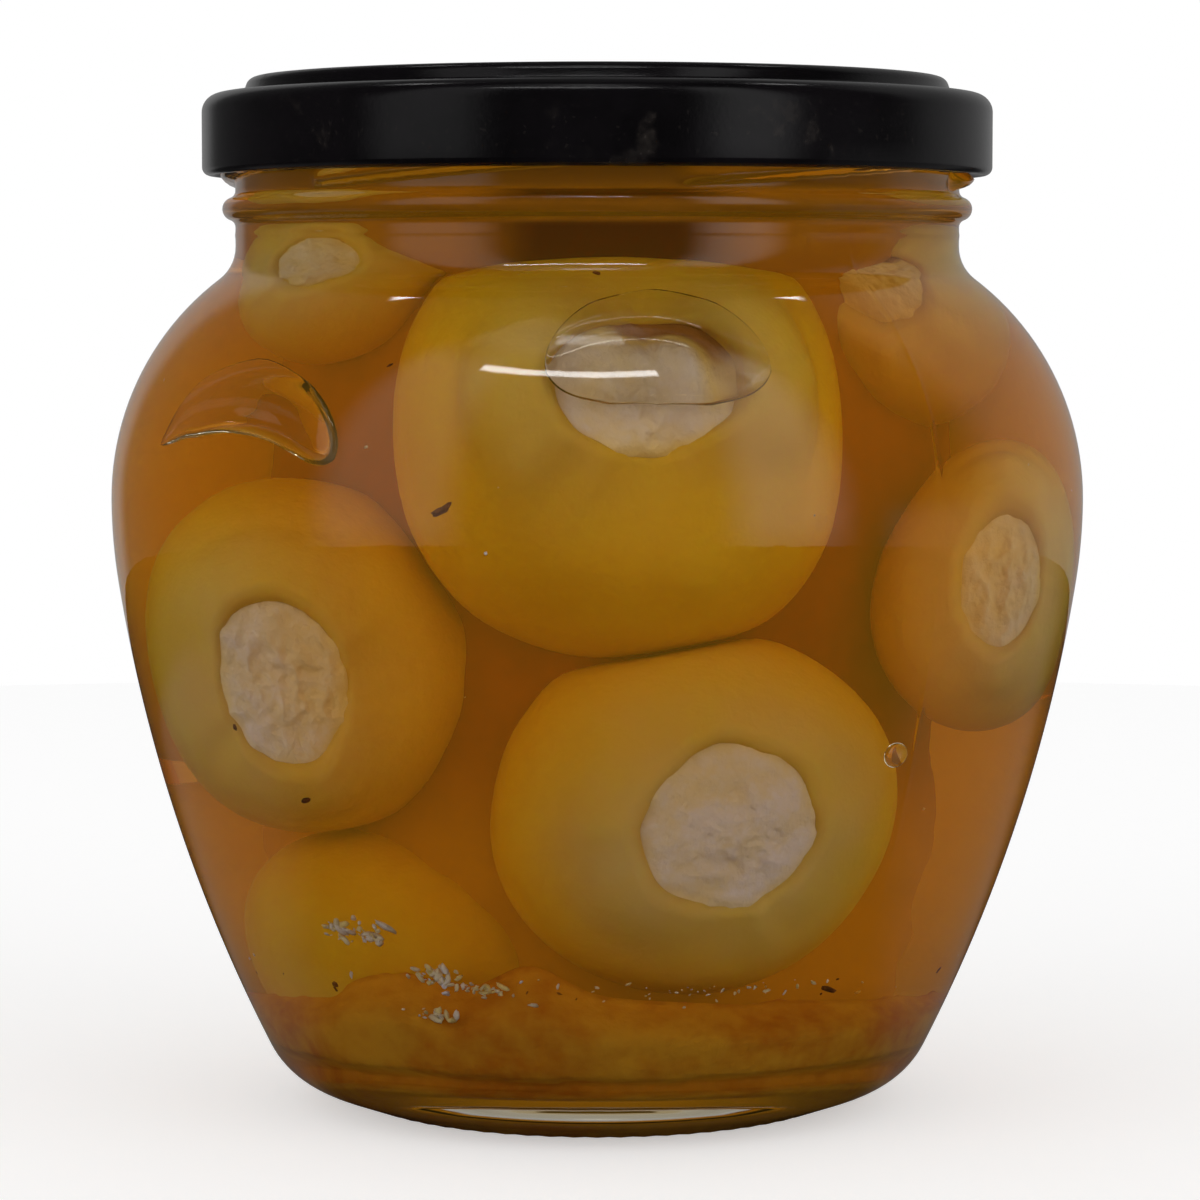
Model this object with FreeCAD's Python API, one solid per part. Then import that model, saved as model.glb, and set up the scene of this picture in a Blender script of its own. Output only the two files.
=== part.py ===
import FreeCAD, Part

import math
import os

from FreeCAD import Vector

# Jar of stuffed cherry peppers: a squat, bellied glass jar closed by a twist-off lid
# and filled with oil. Millimetres, +Z up, origin on the floor at the jar's axis, and
# -Y is the front. The peppers lie sunk in the oil and are no solids of their own.

# ---------------------------------------------------------------- driving dimensions
# Glass body, outside
WIDEST_RADIUS = 52.72       # belly, at its widest
WIDEST_HEIGHT = 65.72       # height of the widest ring above the floor
BELLY_RADIUS = 57.8         # profile arc just under the widest ring
TAPER_RADIUS = 171.7        # long profile arc from the belly down to the heel
HEEL_RADIUS = 9.34          # profile arc that turns the wall under
UNDERSIDE_SLOPE = 19.9      # degrees, cone between the heel and the standing ring
UNDERSIDE_LENGTH = 4.91     # length of that cone along its slope
STANDING_RING_RADIUS = 25.46
STANDING_RING_ROUND = 2.11  # profile radius of the standing ring
STANDING_FLAT = 1.0         # width of the flat that the jar stands on
PUSH_UP = 3.0               # rise of the underside at the axis

# Glass body, inside
GLASS_WALL = 2.8
HEEL_FLOOR = 5.8            # lowest point of the inside, above the floor outside
FLOOR_CROWN = 1.9           # rise of the inside floor from there to the axis
INNER_CORNER_RADIUS = 8.0

# Neck and finish
NECK_RADIUS = 39.2
NECK_BASE_HEIGHT = 92.93    # where the shoulder has turned into the straight neck
NECK_FILLET = 4.39
BEAD_RISE = 4.02            # middle of the bead above the neck's base
BEAD_STAND_OUT = 1.4        # bead's outer radius past the neck's
BEAD_ROUND = 1.25           # profile radius of the bead
BEAD_FILLET = 0.8
FINISH_HEIGHT = 15.57       # sealing rim above the neck's base
RIM_ROUND = 0.9

# Thread lugs on the glass
LUG_COUNT = 6
LUG_STAND_OUT = 1.65        # lug's outer radius past the neck's
LUG_THICKNESS = 2.3         # along the axis, at the root
LUG_DROP = 9.85             # underside of a lug's low end, below the rim
LUG_PITCH = 19.0            # climb in one full turn
LUG_SPAN = 57.0             # degrees
LUG_FIRST_ANGLE = -137.5    # degrees from +X to one lug's low end
LUG_RAMP = 5.0              # degrees over which an end rises to full height
LUG_END_SCALE = 0.3         # share of the full reach at the very end

# Lid
LID_SHEET = 0.8             # steel with its lining
SKIRT_CLEARANCE = 1.1       # skirt's inside to the lugs
SKIRT_CORNER = 2.0          # outer round between skirt and top
CROWN_INSET = 4.45          # from the skirt's outside to the root of the raised panel
CROWN_LEAN = 0.6            # the raised panel's side leans in by this
CROWN_RISE = 1.76           # raised panel above the channel that sits on the rim
CROWN_ROUND = 1.1
CROWN_ROOT_ROUND = 0.45
CROWN_BAND = 6.0            # width of the panel's raised border
PANEL_SINK = 0.6            # middle of the panel below its border
PANEL_LEAN = 1.2
BUTTON_RADIUS = 11.0        # safety button at the axis
BUTTON_RISE = 0.35
BUTTON_LEAN = 1.5
SOFT_ROUND = 0.9            # rounds of the shallow pressed steps
HEM_ROUND = 0.9             # rolled hem along the skirt's lower edge
TAB_THICKNESS = 0.7         # lid tabs that hook under the lugs
TAB_BITE = 0.75             # overlap of a tab with the lug above it
TAB_START = 50.0            # degrees from a lug's low end
TAB_SPAN = 7.0
TAB_CLEARANCE = 0.05        # between a tab and the lug above it

# Contents
OIL_BELOW_RIM = 5.5         # oil level below the sealing rim

# ---------------------------------------------------------------- worked-out heights
RIM_HEIGHT = NECK_BASE_HEIGHT + FINISH_HEIGHT
BEAD_HEIGHT = NECK_BASE_HEIGHT + BEAD_RISE
BEAD_REACH = NECK_RADIUS + BEAD_STAND_OUT
LUG_REACH = NECK_RADIUS + LUG_STAND_OUT
OIL_LEVEL = RIM_HEIGHT - OIL_BELOW_RIM
BORE_RADIUS = NECK_RADIUS - GLASS_WALL
LUG_LOW = RIM_HEIGHT - LUG_DROP
TAB_TOP = LUG_LOW + LUG_PITCH * TAB_START / 360.0 - TAB_CLEARANCE
HEM_HEIGHT = TAB_TOP - TAB_THICKNESS
SKIRT_RADIUS = LUG_REACH + SKIRT_CLEARANCE + LID_SHEET

AXIS = Vector(0, 0, 1)
ORIGIN = Vector(0, 0, 0)


# ---------------------------------------------------------------- profile helpers
def at(r, z):
    """Point of a profile: radius and height."""
    return Vector(r, 0, z)


def polar(centre, radius, angle):
    """Point at an angle (radians) round a centre given as (r, z)."""
    return centre[0] + radius * math.cos(angle), centre[1] + radius * math.sin(angle)


def line(a, b):
    """Straight edge between two (r, z) points."""
    return Part.LineSegment(at(*a), at(*b)).toShape()


def arc(centre, radius, start, end):
    """Arc edge round a centre, from one angle to another (radians)."""
    points = [at(*polar(centre, radius, start + (end - start) * part)) for part in (0.0, 0.5, 1.0)]
    return Part.Arc(*points).toShape()


def revolve(edges, angle=360.0):
    """Solid of revolution of a closed profile about the jar's axis."""
    wire = Part.Wire(Part.__sortEdges__(edges))
    return Part.Face(wire).revolve(ORIGIN, AXIS, angle)


def rounded_outline(corners):
    """Open run of lines through (r, z, round) corners, each corner a tangent arc."""
    edges = []
    here = at(*corners[0][:2])
    for before, corner, after in zip(corners, corners[1:], corners[2:]):
        tip = at(*corner[:2])
        back = (at(*before[:2]) - tip).normalize()
        ahead = (at(*after[:2]) - tip).normalize()
        half = back.getAngle(ahead) / 2.0
        reach = corner[2] / math.tan(half)
        first = tip + back * reach
        last = tip + ahead * reach
        middle_line = (back + ahead).normalize()
        middle = tip + middle_line * (corner[2] / math.sin(half) - corner[2])
        if (first - here).Length > 1e-6:
            edges.append(Part.LineSegment(here, first).toShape())
        edges.append(Part.Arc(first, middle, last).toShape())
        here = last
    edges.append(Part.LineSegment(here, at(*corners[-1][:2])).toShape())
    return edges


def circle_crossing(centre_a, radius_a, centre_b, radius_b):
    """Crossing of two circles that lies on the axis side."""
    dr = centre_b[0] - centre_a[0]
    dz = centre_b[1] - centre_a[1]
    gap = math.hypot(dr, dz)
    along = (radius_a ** 2 - radius_b ** 2 + gap ** 2) / (2 * gap)
    side = math.sqrt(radius_a ** 2 - along ** 2)
    foot = (centre_a[0] + along * dr / gap, centre_a[1] + along * dz / gap)
    choices = [(foot[0] + s * side * dz / gap, foot[1] - s * side * dr / gap) for s in (1, -1)]
    return min(choices)


# ---------------------------------------------------------------- glass profile
class GlassProfile:
    """Centres of the tangent arcs that make the jar's wall."""

    def __init__(self):
        self.slope = math.radians(UNDERSIDE_SLOPE)
        self.under = self.slope - math.pi / 2
        self.ring = (STANDING_RING_RADIUS, STANDING_RING_ROUND)
        self.ring_inside = (STANDING_RING_RADIUS - STANDING_FLAT, STANDING_RING_ROUND)
        self.cone_start = polar(self.ring, STANDING_RING_ROUND, self.under)
        self.cone_end = polar(self.cone_start, UNDERSIDE_LENGTH, self.slope)
        self.heel = polar(self.cone_end, -HEEL_RADIUS, self.under)
        self.belly = (WIDEST_RADIUS - BELLY_RADIUS, WIDEST_HEIGHT)
        self.taper = circle_crossing(self.belly, TAPER_RADIUS - BELLY_RADIUS,
                                     self.heel, TAPER_RADIUS - HEEL_RADIUS)
        self.belly_end = self.angle_from(self.taper, self.belly)
        self.heel_start = self.angle_from(self.taper, self.heel)
        self.neck = (NECK_RADIUS + NECK_FILLET, NECK_BASE_HEIGHT)
        step = self.neck[0] - WIDEST_RADIUS
        rise = NECK_BASE_HEIGHT - WIDEST_HEIGHT
        self.shoulder_radius = ((step ** 2 + rise ** 2 - NECK_FILLET ** 2)
                                / (2 * (NECK_FILLET - step)))
        self.shoulder = (WIDEST_RADIUS - self.shoulder_radius, WIDEST_HEIGHT)
        self.shoulder_end = self.angle_from(self.shoulder, self.neck)

    @staticmethod
    def angle_from(a, b):
        """Angle of the line from one centre to another."""
        return math.atan2(b[1] - a[1], b[0] - a[0])

    def wall(self, inset):
        """Edges from the taper's foot up to the neck's base, set in by the wall."""
        return [
            arc(self.taper, TAPER_RADIUS - inset, self.foot(inset), self.belly_end),
            arc(self.belly, BELLY_RADIUS - inset, self.belly_end, 0.0),
            arc(self.shoulder, self.shoulder_radius - inset, 0.0, self.shoulder_end),
            arc(self.neck, NECK_FILLET + inset, self.shoulder_end + math.pi, math.pi),
        ]

    def foot(self, inset):
        """Angle at which the taper ends: at the heel outside, at the corner inside."""
        if inset == 0:
            return self.heel_start
        return self.angle_from(self.taper, self.inner_corner())

    def inner_corner(self):
        """Centre of the inside corner round, tangent to the inner wall."""
        z = HEEL_FLOOR + INNER_CORNER_RADIUS
        span = TAPER_RADIUS - GLASS_WALL - INNER_CORNER_RADIUS
        return self.taper[0] + math.sqrt(span ** 2 - (z - self.taper[1]) ** 2), z

    def underside(self):
        """Edges of the outside from the axis to the taper: dome, ring, flat, cone and heel."""
        inside = self.ring_inside
        dome_radius = (inside[0] ** 2 + (inside[1] - PUSH_UP) ** 2
                       - STANDING_RING_ROUND ** 2) / (2 * PUSH_UP)
        dome = (0.0, PUSH_UP - dome_radius)
        tip = self.angle_from(dome, inside)
        return [
            arc(dome, dome_radius, math.pi / 2, tip),
            arc(inside, STANDING_RING_ROUND, tip - math.pi, -math.pi / 2),
            line((inside[0], 0.0), (self.ring[0], 0.0)),
            arc(self.ring, STANDING_RING_ROUND, -math.pi / 2, self.under),
            line(self.cone_start, self.cone_end),
            arc(self.heel, HEEL_RADIUS, self.under, self.heel_start),
        ]

    def floor(self):
        """Edges of the inside from the axis to the inner wall: crowned floor and corner."""
        corner = self.inner_corner()
        crown = HEEL_FLOOR + FLOOR_CROWN
        dome_radius = (corner[0] ** 2 + (corner[1] - crown) ** 2
                       - INNER_CORNER_RADIUS ** 2) / (2 * FLOOR_CROWN)
        dome = (0.0, crown - dome_radius)
        tip = self.angle_from(dome, corner)
        return [
            arc(dome, dome_radius, math.pi / 2, tip),
            arc(corner, INNER_CORNER_RADIUS, tip - math.pi, self.foot(GLASS_WALL)),
        ]


def finish_edges():
    """Outside of the neck with its bead, over the rim, and down the bore."""
    bead = (BEAD_REACH - BEAD_ROUND, BEAD_HEIGHT)
    offset = NECK_RADIUS + BEAD_FILLET - bead[0]
    drop = math.sqrt((BEAD_ROUND + BEAD_FILLET) ** 2 - offset ** 2)
    turn = math.atan2(drop, offset)
    below = (NECK_RADIUS + BEAD_FILLET, BEAD_HEIGHT - drop)
    above = (NECK_RADIUS + BEAD_FILLET, BEAD_HEIGHT + drop)
    return [
        line((NECK_RADIUS, NECK_BASE_HEIGHT), (NECK_RADIUS, below[1])),
        arc(below, BEAD_FILLET, math.pi, math.pi - turn),
        arc(bead, BEAD_ROUND, -turn, turn),
        arc(above, BEAD_FILLET, math.pi + turn, math.pi),
        *rounded_outline([
            (NECK_RADIUS, above[1], 0.0),
            (NECK_RADIUS, RIM_HEIGHT, RIM_ROUND),
            (BORE_RADIUS, RIM_HEIGHT, RIM_ROUND),
            (BORE_RADIUS, NECK_BASE_HEIGHT, 0.0),
        ]),
    ]


# ---------------------------------------------------------------- glass jar
def lug_section(angle):
    """Closed outline of a thread lug in the radial plane at an angle from its low end."""
    root = NECK_RADIUS - GLASS_WALL / 3
    low = LUG_LOW + LUG_PITCH * angle / 360.0
    ramp = min(1.0, angle / LUG_RAMP, (LUG_SPAN - angle) / LUG_RAMP)
    scale = LUG_END_SCALE + (1 - LUG_END_SCALE) * math.sin(ramp * math.pi / 2)
    reach = NECK_RADIUS + LUG_STAND_OUT * scale
    thick = LUG_THICKNESS
    nose_low = (reach - 0.25 * LUG_STAND_OUT, low + 0.15 * thick)
    nose = (reach, low + 0.35 * thick)
    nose_high = (reach - 0.25 * LUG_STAND_OUT, low + 0.55 * thick)
    edges = [
        line((root, low), nose_low),
        Part.Arc(at(*nose_low), at(*nose), at(*nose_high)).toShape(),
        line(nose_high, (root, low + thick)),
        line((root, low + thick), (root, low)),
    ]
    wire = Part.Wire(edges)
    wire.rotate(ORIGIN, AXIS, angle)
    return wire


def thread_lug():
    """One raised, climbing lug, its low end on +X."""
    low_end = [LUG_RAMP * share for share in (0.0, 0.33, 0.67, 1.0, 1.33)]
    high_end = [LUG_SPAN - angle for angle in reversed(low_end)]
    stretch = high_end[0] - low_end[-1]
    steps = 5
    middle = [low_end[-1] + stretch * i / steps for i in range(1, steps)]
    sections = [lug_section(angle) for angle in (*low_end, *middle, *high_end)]
    return Part.makeLoft(sections, True, False)


def around(shape, first, count):
    """Copies of a shape spaced evenly about the axis, from a first angle."""
    copies = []
    for i in range(count):
        copy = shape.copy()
        copy.rotate(ORIGIN, AXIS, first + 360.0 * i / count)
        copies.append(copy)
    return copies


def glass_jar(profile):
    """The jar: body, neck, bead, rim and thread lugs in one solid of glass."""
    axis_line = line((0.0, HEEL_FLOOR + FLOOR_CROWN), (0.0, PUSH_UP))
    edges = [*profile.underside(), *profile.wall(0), *finish_edges(),
             *profile.wall(GLASS_WALL), *profile.floor(), axis_line]
    body = revolve(edges)
    return body.fuse(around(thread_lug(), LUG_FIRST_ANGLE, LUG_COUNT))


# ---------------------------------------------------------------- lid
def lid():
    """Twist-off lid: stepped panel, channel on the rim, skirt, rolled hem and tabs."""
    channel = RIM_HEIGHT + LID_SHEET
    crown = channel + CROWN_RISE
    panel = crown - PANEL_SINK
    root = SKIRT_RADIUS - CROWN_INSET
    border = root - CROWN_LEAN - CROWN_BAND
    hem_in = SKIRT_RADIUS - 2 * HEM_ROUND
    skirt_in = SKIRT_RADIUS - LID_SHEET
    hem_top = HEM_HEIGHT + 2 * HEM_ROUND
    top = [
        (0.0, panel + BUTTON_RISE, 0.0),
        (BUTTON_RADIUS, panel + BUTTON_RISE, SOFT_ROUND),
        (BUTTON_RADIUS + BUTTON_LEAN, panel, SOFT_ROUND),
        (border - PANEL_LEAN, panel, SOFT_ROUND),
        (border, crown, SOFT_ROUND),
        (root - CROWN_LEAN, crown, CROWN_ROUND),
        (root, channel, CROWN_ROOT_ROUND),
        (SKIRT_RADIUS, channel, SKIRT_CORNER),
        (SKIRT_RADIUS, HEM_HEIGHT, 0.98 * HEM_ROUND),
        (hem_in, HEM_HEIGHT, 0.98 * HEM_ROUND),
        (hem_in, hem_top, 0.4 * HEM_ROUND),
        (skirt_in, hem_top, 0.2 * HEM_ROUND),
        (skirt_in, RIM_HEIGHT, SKIRT_CORNER - LID_SHEET),
        (root - LID_SHEET, RIM_HEIGHT, CROWN_ROOT_ROUND),
        (root - CROWN_LEAN - LID_SHEET, crown - LID_SHEET, CROWN_ROOT_ROUND),
        (border + LID_SHEET, crown - LID_SHEET, SOFT_ROUND),
        (border + LID_SHEET - PANEL_LEAN, panel - LID_SHEET, SOFT_ROUND),
        (BUTTON_RADIUS + BUTTON_LEAN, panel - LID_SHEET, SOFT_ROUND),
        (BUTTON_RADIUS, panel + BUTTON_RISE - LID_SHEET, SOFT_ROUND),
        (0.0, panel + BUTTON_RISE - LID_SHEET, 0.0),
    ]
    edges = rounded_outline(top)
    edges.append(line(top[-1][:2], top[0][:2]))
    tab_in = LUG_REACH - TAB_BITE
    tab_out = SKIRT_RADIUS - HEM_ROUND
    corners = [(tab_in, HEM_HEIGHT), (tab_out, HEM_HEIGHT), (tab_out, TAB_TOP), (tab_in, TAB_TOP)]
    tab = revolve([line(a, b) for a, b in zip(corners, corners[1:] + corners[:1])], TAB_SPAN)
    return revolve(edges).fuse(around(tab, LUG_FIRST_ANGLE + TAB_START, LUG_COUNT))


# ---------------------------------------------------------------- contents
def oil(profile):
    """The oil that fills the jar up to its level, against the glass all round."""
    level = (BORE_RADIUS, OIL_LEVEL)
    edges = [
        *profile.floor(),
        *profile.wall(GLASS_WALL),
        line((BORE_RADIUS, NECK_BASE_HEIGHT), level),
        line(level, (0.0, OIL_LEVEL)),
        line((0.0, OIL_LEVEL), (0.0, HEEL_FLOOR + FLOOR_CROWN)),
    ]
    return revolve(edges)


def write(name, shape):
    """Write one node as a single checked solid."""
    solids = shape.Solids
    if len(solids) != 1 or not solids[0].isValid():
        raise ValueError(f"{name}: {len(solids)} solids, or not a valid one")
    solid = solids[0]
    solid.exportStep(f"parts/{name}.step")
    box = solid.BoundBox
    print(f"{name:10s} {solid.Volume / 1000:8.2f} cm3  z {box.ZMin:6.2f} to {box.ZMax:6.2f}")


def main():
    """Build and write every node."""
    os.makedirs("parts", exist_ok=True)
    profile = GlassProfile()
    write("glass_jar", glass_jar(profile))
    write("lid", lid())
    write("oil", oil(profile))


main()
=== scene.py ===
"""Looks of the jar of stuffed cherry peppers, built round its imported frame.

Metres, +Z up, the jar's axis at the origin and -Y its front.
"""

import enum
import itertools
import logging
import math
from dataclasses import dataclass, field

import bmesh
import bpy
import numpy as np
from bpy.types import Material, Node, NodeSocket, NodeTree
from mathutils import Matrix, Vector


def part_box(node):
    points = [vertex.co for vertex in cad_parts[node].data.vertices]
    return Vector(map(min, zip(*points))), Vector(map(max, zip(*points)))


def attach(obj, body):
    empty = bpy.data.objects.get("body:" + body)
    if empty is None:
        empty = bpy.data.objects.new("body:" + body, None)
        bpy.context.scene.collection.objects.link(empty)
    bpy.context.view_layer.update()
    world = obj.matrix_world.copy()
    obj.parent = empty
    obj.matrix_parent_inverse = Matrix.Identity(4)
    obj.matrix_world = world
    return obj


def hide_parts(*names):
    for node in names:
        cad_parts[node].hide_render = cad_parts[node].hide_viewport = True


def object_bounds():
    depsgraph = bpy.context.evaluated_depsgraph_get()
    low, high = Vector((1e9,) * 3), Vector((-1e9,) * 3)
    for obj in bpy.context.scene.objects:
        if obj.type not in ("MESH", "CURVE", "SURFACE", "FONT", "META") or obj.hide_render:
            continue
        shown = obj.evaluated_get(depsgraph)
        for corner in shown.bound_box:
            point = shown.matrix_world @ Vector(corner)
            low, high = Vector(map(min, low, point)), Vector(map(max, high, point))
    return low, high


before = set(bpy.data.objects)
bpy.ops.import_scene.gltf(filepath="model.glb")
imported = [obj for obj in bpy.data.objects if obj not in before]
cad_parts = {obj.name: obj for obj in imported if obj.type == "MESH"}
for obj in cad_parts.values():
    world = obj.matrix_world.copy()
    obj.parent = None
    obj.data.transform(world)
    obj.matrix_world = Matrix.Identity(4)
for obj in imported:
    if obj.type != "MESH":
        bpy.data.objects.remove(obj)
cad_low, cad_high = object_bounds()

LOG = logging.getLogger("pepper_jar")
BODY = "root"
FRONT_ANGLE = -90.0
GLASS_INDEX = 1.5
OIL_INDEX = 1.47
Colour = tuple[float, float, float, float]
Triple = tuple[float, float, float]
Pair = tuple[float, float]
Array = np.ndarray
Piece = bpy.types.Object


# ---------------- numbers and meshes
def value_noise(points: Array, size: float, seed: int) -> Array:
    """Smooth noise between -1 and 1.

    Args:
        points: places, one row each.
        size: distance over which the noise changes.
        seed: picks the pattern.

    Returns:
        One value for each place.
    """
    scaled = points / size
    cell = np.floor(scaled).astype(np.int64)
    part = scaled - cell
    part = part * part * (3.0 - 2.0 * part)
    total = np.zeros(len(points))
    for corner in itertools.product((0, 1), repeat=3):
        offset = np.array(corner)
        weight = np.prod(np.where(offset == 1, part, 1.0 - part), axis=1)
        total += weight * hashed(cell + offset, seed)
    return total


def hashed(cell: Array, seed: int) -> Array:
    """Repeatable value between -1 and 1 for each whole-number cell, given one a row."""
    mixed = (cell[:, 0] * 374761393 + cell[:, 1] * 668265263 + cell[:, 2] * 362437 + seed * 974711)
    mixed = mixed & 0x7FFFFFFF
    mixed = ((mixed ^ (mixed >> 13)) * 1274126177) & 0x7FFFFFFF
    mixed = mixed ^ (mixed >> 16)
    return (mixed & 0xFFFF) / 32767.5 - 1.0


def rough_noise(points: Array, size: float, seed: int, octaves: int = 3) -> Array:
    """Noise with finer and weaker layers added, each half the size of the last."""
    total = np.zeros(len(points))
    for layer in range(octaves):
        total += value_noise(points, size / 2.0 ** layer, seed + layer) / 2.0 ** layer
    return total


def smooth_step(value: Array, low: float, high: float) -> Array:
    """Smooth rise from 0 at low to 1 at high."""
    part = np.clip((value - low) / (high - low), 0.0, 1.0)
    return part * part * (3.0 - 2.0 * part)


def soft_limit(value: Array, most: Array | float, soft: float) -> Array:
    """The value held under a limit, with a bend that is about as long as soft."""
    room = np.clip((most - value) / soft, -40.0, 40.0)
    return most - soft * np.log1p(np.exp(room))


def degrees_apart(angle: Array, middle: float) -> Array:
    """The shortest turn from a middle to each angle, in degrees."""
    return (angle - middle + 180.0) % 360.0 - 180.0


def turns(count: int) -> Array:
    """Even angles round a full turn, in radians."""
    return np.arange(count) * 2.0 * math.pi / count


def revolve(radius: Array, height: Array, turn: Array) -> Array:
    """Rings of points round the jar's axis, from radii and heights in columns or one a point."""
    across = radius * np.cos(turn)
    return np.stack([across, radius * np.sin(turn), np.broadcast_to(height, across.shape)], axis=2)


def outward(points: Array) -> Array:
    """Level unit vector from the jar's axis to each point."""
    level = points * np.array([1.0, 1.0, 0.0])
    return level / np.linalg.norm(level, axis=1)[:, None]


def unit(vector: Array) -> Array:
    """The vector at length one."""
    return vector / np.linalg.norm(vector)


def cross_axes(axis: Array) -> tuple[Array, Array]:
    """Two unit vectors square to an axis and to each other, the second one upward."""
    side = unit(np.cross(axis, np.array([0.0, 0.05, 1.0])))
    return side, np.cross(side, axis)


def arc_points(centre: Pair, radius: float, start: float, end: float,
               step: float) -> list[Pair]:
    """Points (radius, height) along an arc between two angles, at most a step apart."""
    count = max(2, int(math.ceil(abs(end - start) * radius / step)))
    angles = [start + (end - start) * i / count for i in range(count + 1)]
    return [(centre[0] + radius * math.cos(a), centre[1] + radius * math.sin(a)) for a in angles]


def rounded_outline(corners: list[Triple], step: float) -> list[Pair]:
    """Points of an outline whose corners are tangent arcs.

    Args:
        corners: (radius, height, round) of each corner, the ends with no round.
        step: longest distance between two points of a round.

    Returns:
        The points as (radius, height).
    """
    points = [corners[0][:2]]
    for before, corner, after in zip(corners, corners[1:], corners[2:]):
        tip = np.array(corner[:2])
        back = unit(np.array(before[:2]) - tip)
        ahead = unit(np.array(after[:2]) - tip)
        half = math.acos(float(np.clip(back @ ahead, -1.0, 1.0))) / 2.0
        centre = tip + unit(back + ahead) * corner[2] / math.sin(half)
        reach = corner[2] / math.tan(half)
        first = tip + back * reach - centre
        last = tip + ahead * reach - centre
        start = math.atan2(first[1], first[0])
        turn = (math.atan2(last[1], last[0]) - start + math.pi) % (2.0 * math.pi) - math.pi
        points += arc_points((centre[0], centre[1]), corner[2], start, start + turn, step)
    points.append(corners[-1][:2])
    return points


def without_repeats(points: list[Pair], least: float = 1e-6) -> Array:
    """The points in order, without any that repeats the one before it."""
    kept = [points[0]]
    for point in points[1:]:
        if math.dist(point, kept[-1]) > least:
            kept.append(point)
    return np.array(kept)


def ring_faces(rows: int, columns: int, first: int = 0) -> list[tuple[int, ...]]:
    """Four-sided faces between rings of points, facing outward where the rings climb."""
    faces = []
    for row in range(rows - 1):
        low = first + row * columns
        for column in range(columns):
            after = (column + 1) % columns
            faces.append((low + column, low + after, low + columns + after, low + columns + column))
    return faces


def fan_faces(pole: int, ring: int, columns: int, upward: bool) -> list[tuple[int, ...]]:
    """Three-sided faces from a pole to a ring, upward where the ring comes before the pole."""
    faces = []
    for column in range(columns):
        after = (column + 1) % columns
        pair = (ring + column, ring + after) if upward else (ring + after, ring + column)
        faces.append((*pair, pole))
    return faces


@dataclass
class MeshParts:
    """Points and faces gathered for one piece, with the finish that each face takes."""

    points: list[Array] = field(default_factory=list)
    faces: list[tuple[int, ...]] = field(default_factory=list)
    finishes: list[int] = field(default_factory=list)
    masks: list[Array] = field(default_factory=list)
    count: int = 0

    def add(self, points: Array, faces: list[tuple[int, ...]], finish: int = 0,
            mask: Array | None = None) -> None:
        """Add a closed shell, its faces numbered from its own first point, with a value a point for stains
        and painted shade.
        """
        self.points.append(points)
        self.faces += [tuple(self.count + i for i in face) for face in faces]
        self.finishes += [finish] * len(faces)
        self.masks.append(np.zeros(len(points)) if mask is None else mask)
        self.count += len(points)

    def spin(self, rings: Array, start: Array, end: Array,
             finish: int | list[int] = 0, mask: Array | None = None) -> None:
        """Add a shell made of rings closed by a pole at each end.

        Args:
            rings: points as rows, columns and coordinates.
            start: pole before the first ring.
            end: pole after the last ring.
            finish: index of the finish, or one for each band of faces.
            mask: one value for each ring point, rows and columns.
        """
        rows, columns = rings.shape[:2]
        points = np.vstack([start[None], rings.reshape(-1, 3), end[None]])
        faces = fan_faces(0, 1, columns, False)
        faces += ring_faces(rows, columns, 1)
        faces += fan_faces(rows * columns + 1, 1 + (rows - 1) * columns, columns, True)
        values = None
        if mask is not None:
            values = np.concatenate([mask[0, :1], mask.ravel(), mask[-1, -1:]])
        first = len(self.finishes)
        self.add(points, faces, finish if isinstance(finish, int) else 0, values)
        if not isinstance(finish, int):
            for band, index in enumerate(finish):
                low = first + columns * band
                self.finishes[low:low + columns] = [index] * columns

    def piece(self, name: str, finishes: list[Material]) -> Piece:
        """Make the piece and let it ride on the jar.

        Args:
            name: the piece's name.
            finishes: its materials in order.

        Returns:
            The new object.
        """
        mesh = bpy.data.meshes.new(name)
        mesh.from_pydata(np.vstack(self.points).tolist(), [], self.faces)
        for finish in finishes:
            mesh.materials.append(finish)
        mesh.polygons.foreach_set("material_index", self.finishes)
        mesh.polygons.foreach_set("use_smooth", [True] * len(self.faces))
        # stains a point, and a value above 1 that marks painted shade in the cheese's hollows
        stain = mesh.attributes.new("stain", "FLOAT", "POINT")
        stain.data.foreach_set("value", np.concatenate(self.masks).astype(np.float32))
        mesh.update()
        piece = bpy.data.objects.new(name, mesh)
        bpy.context.scene.collection.objects.link(piece)
        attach(piece, BODY)
        return piece


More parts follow.
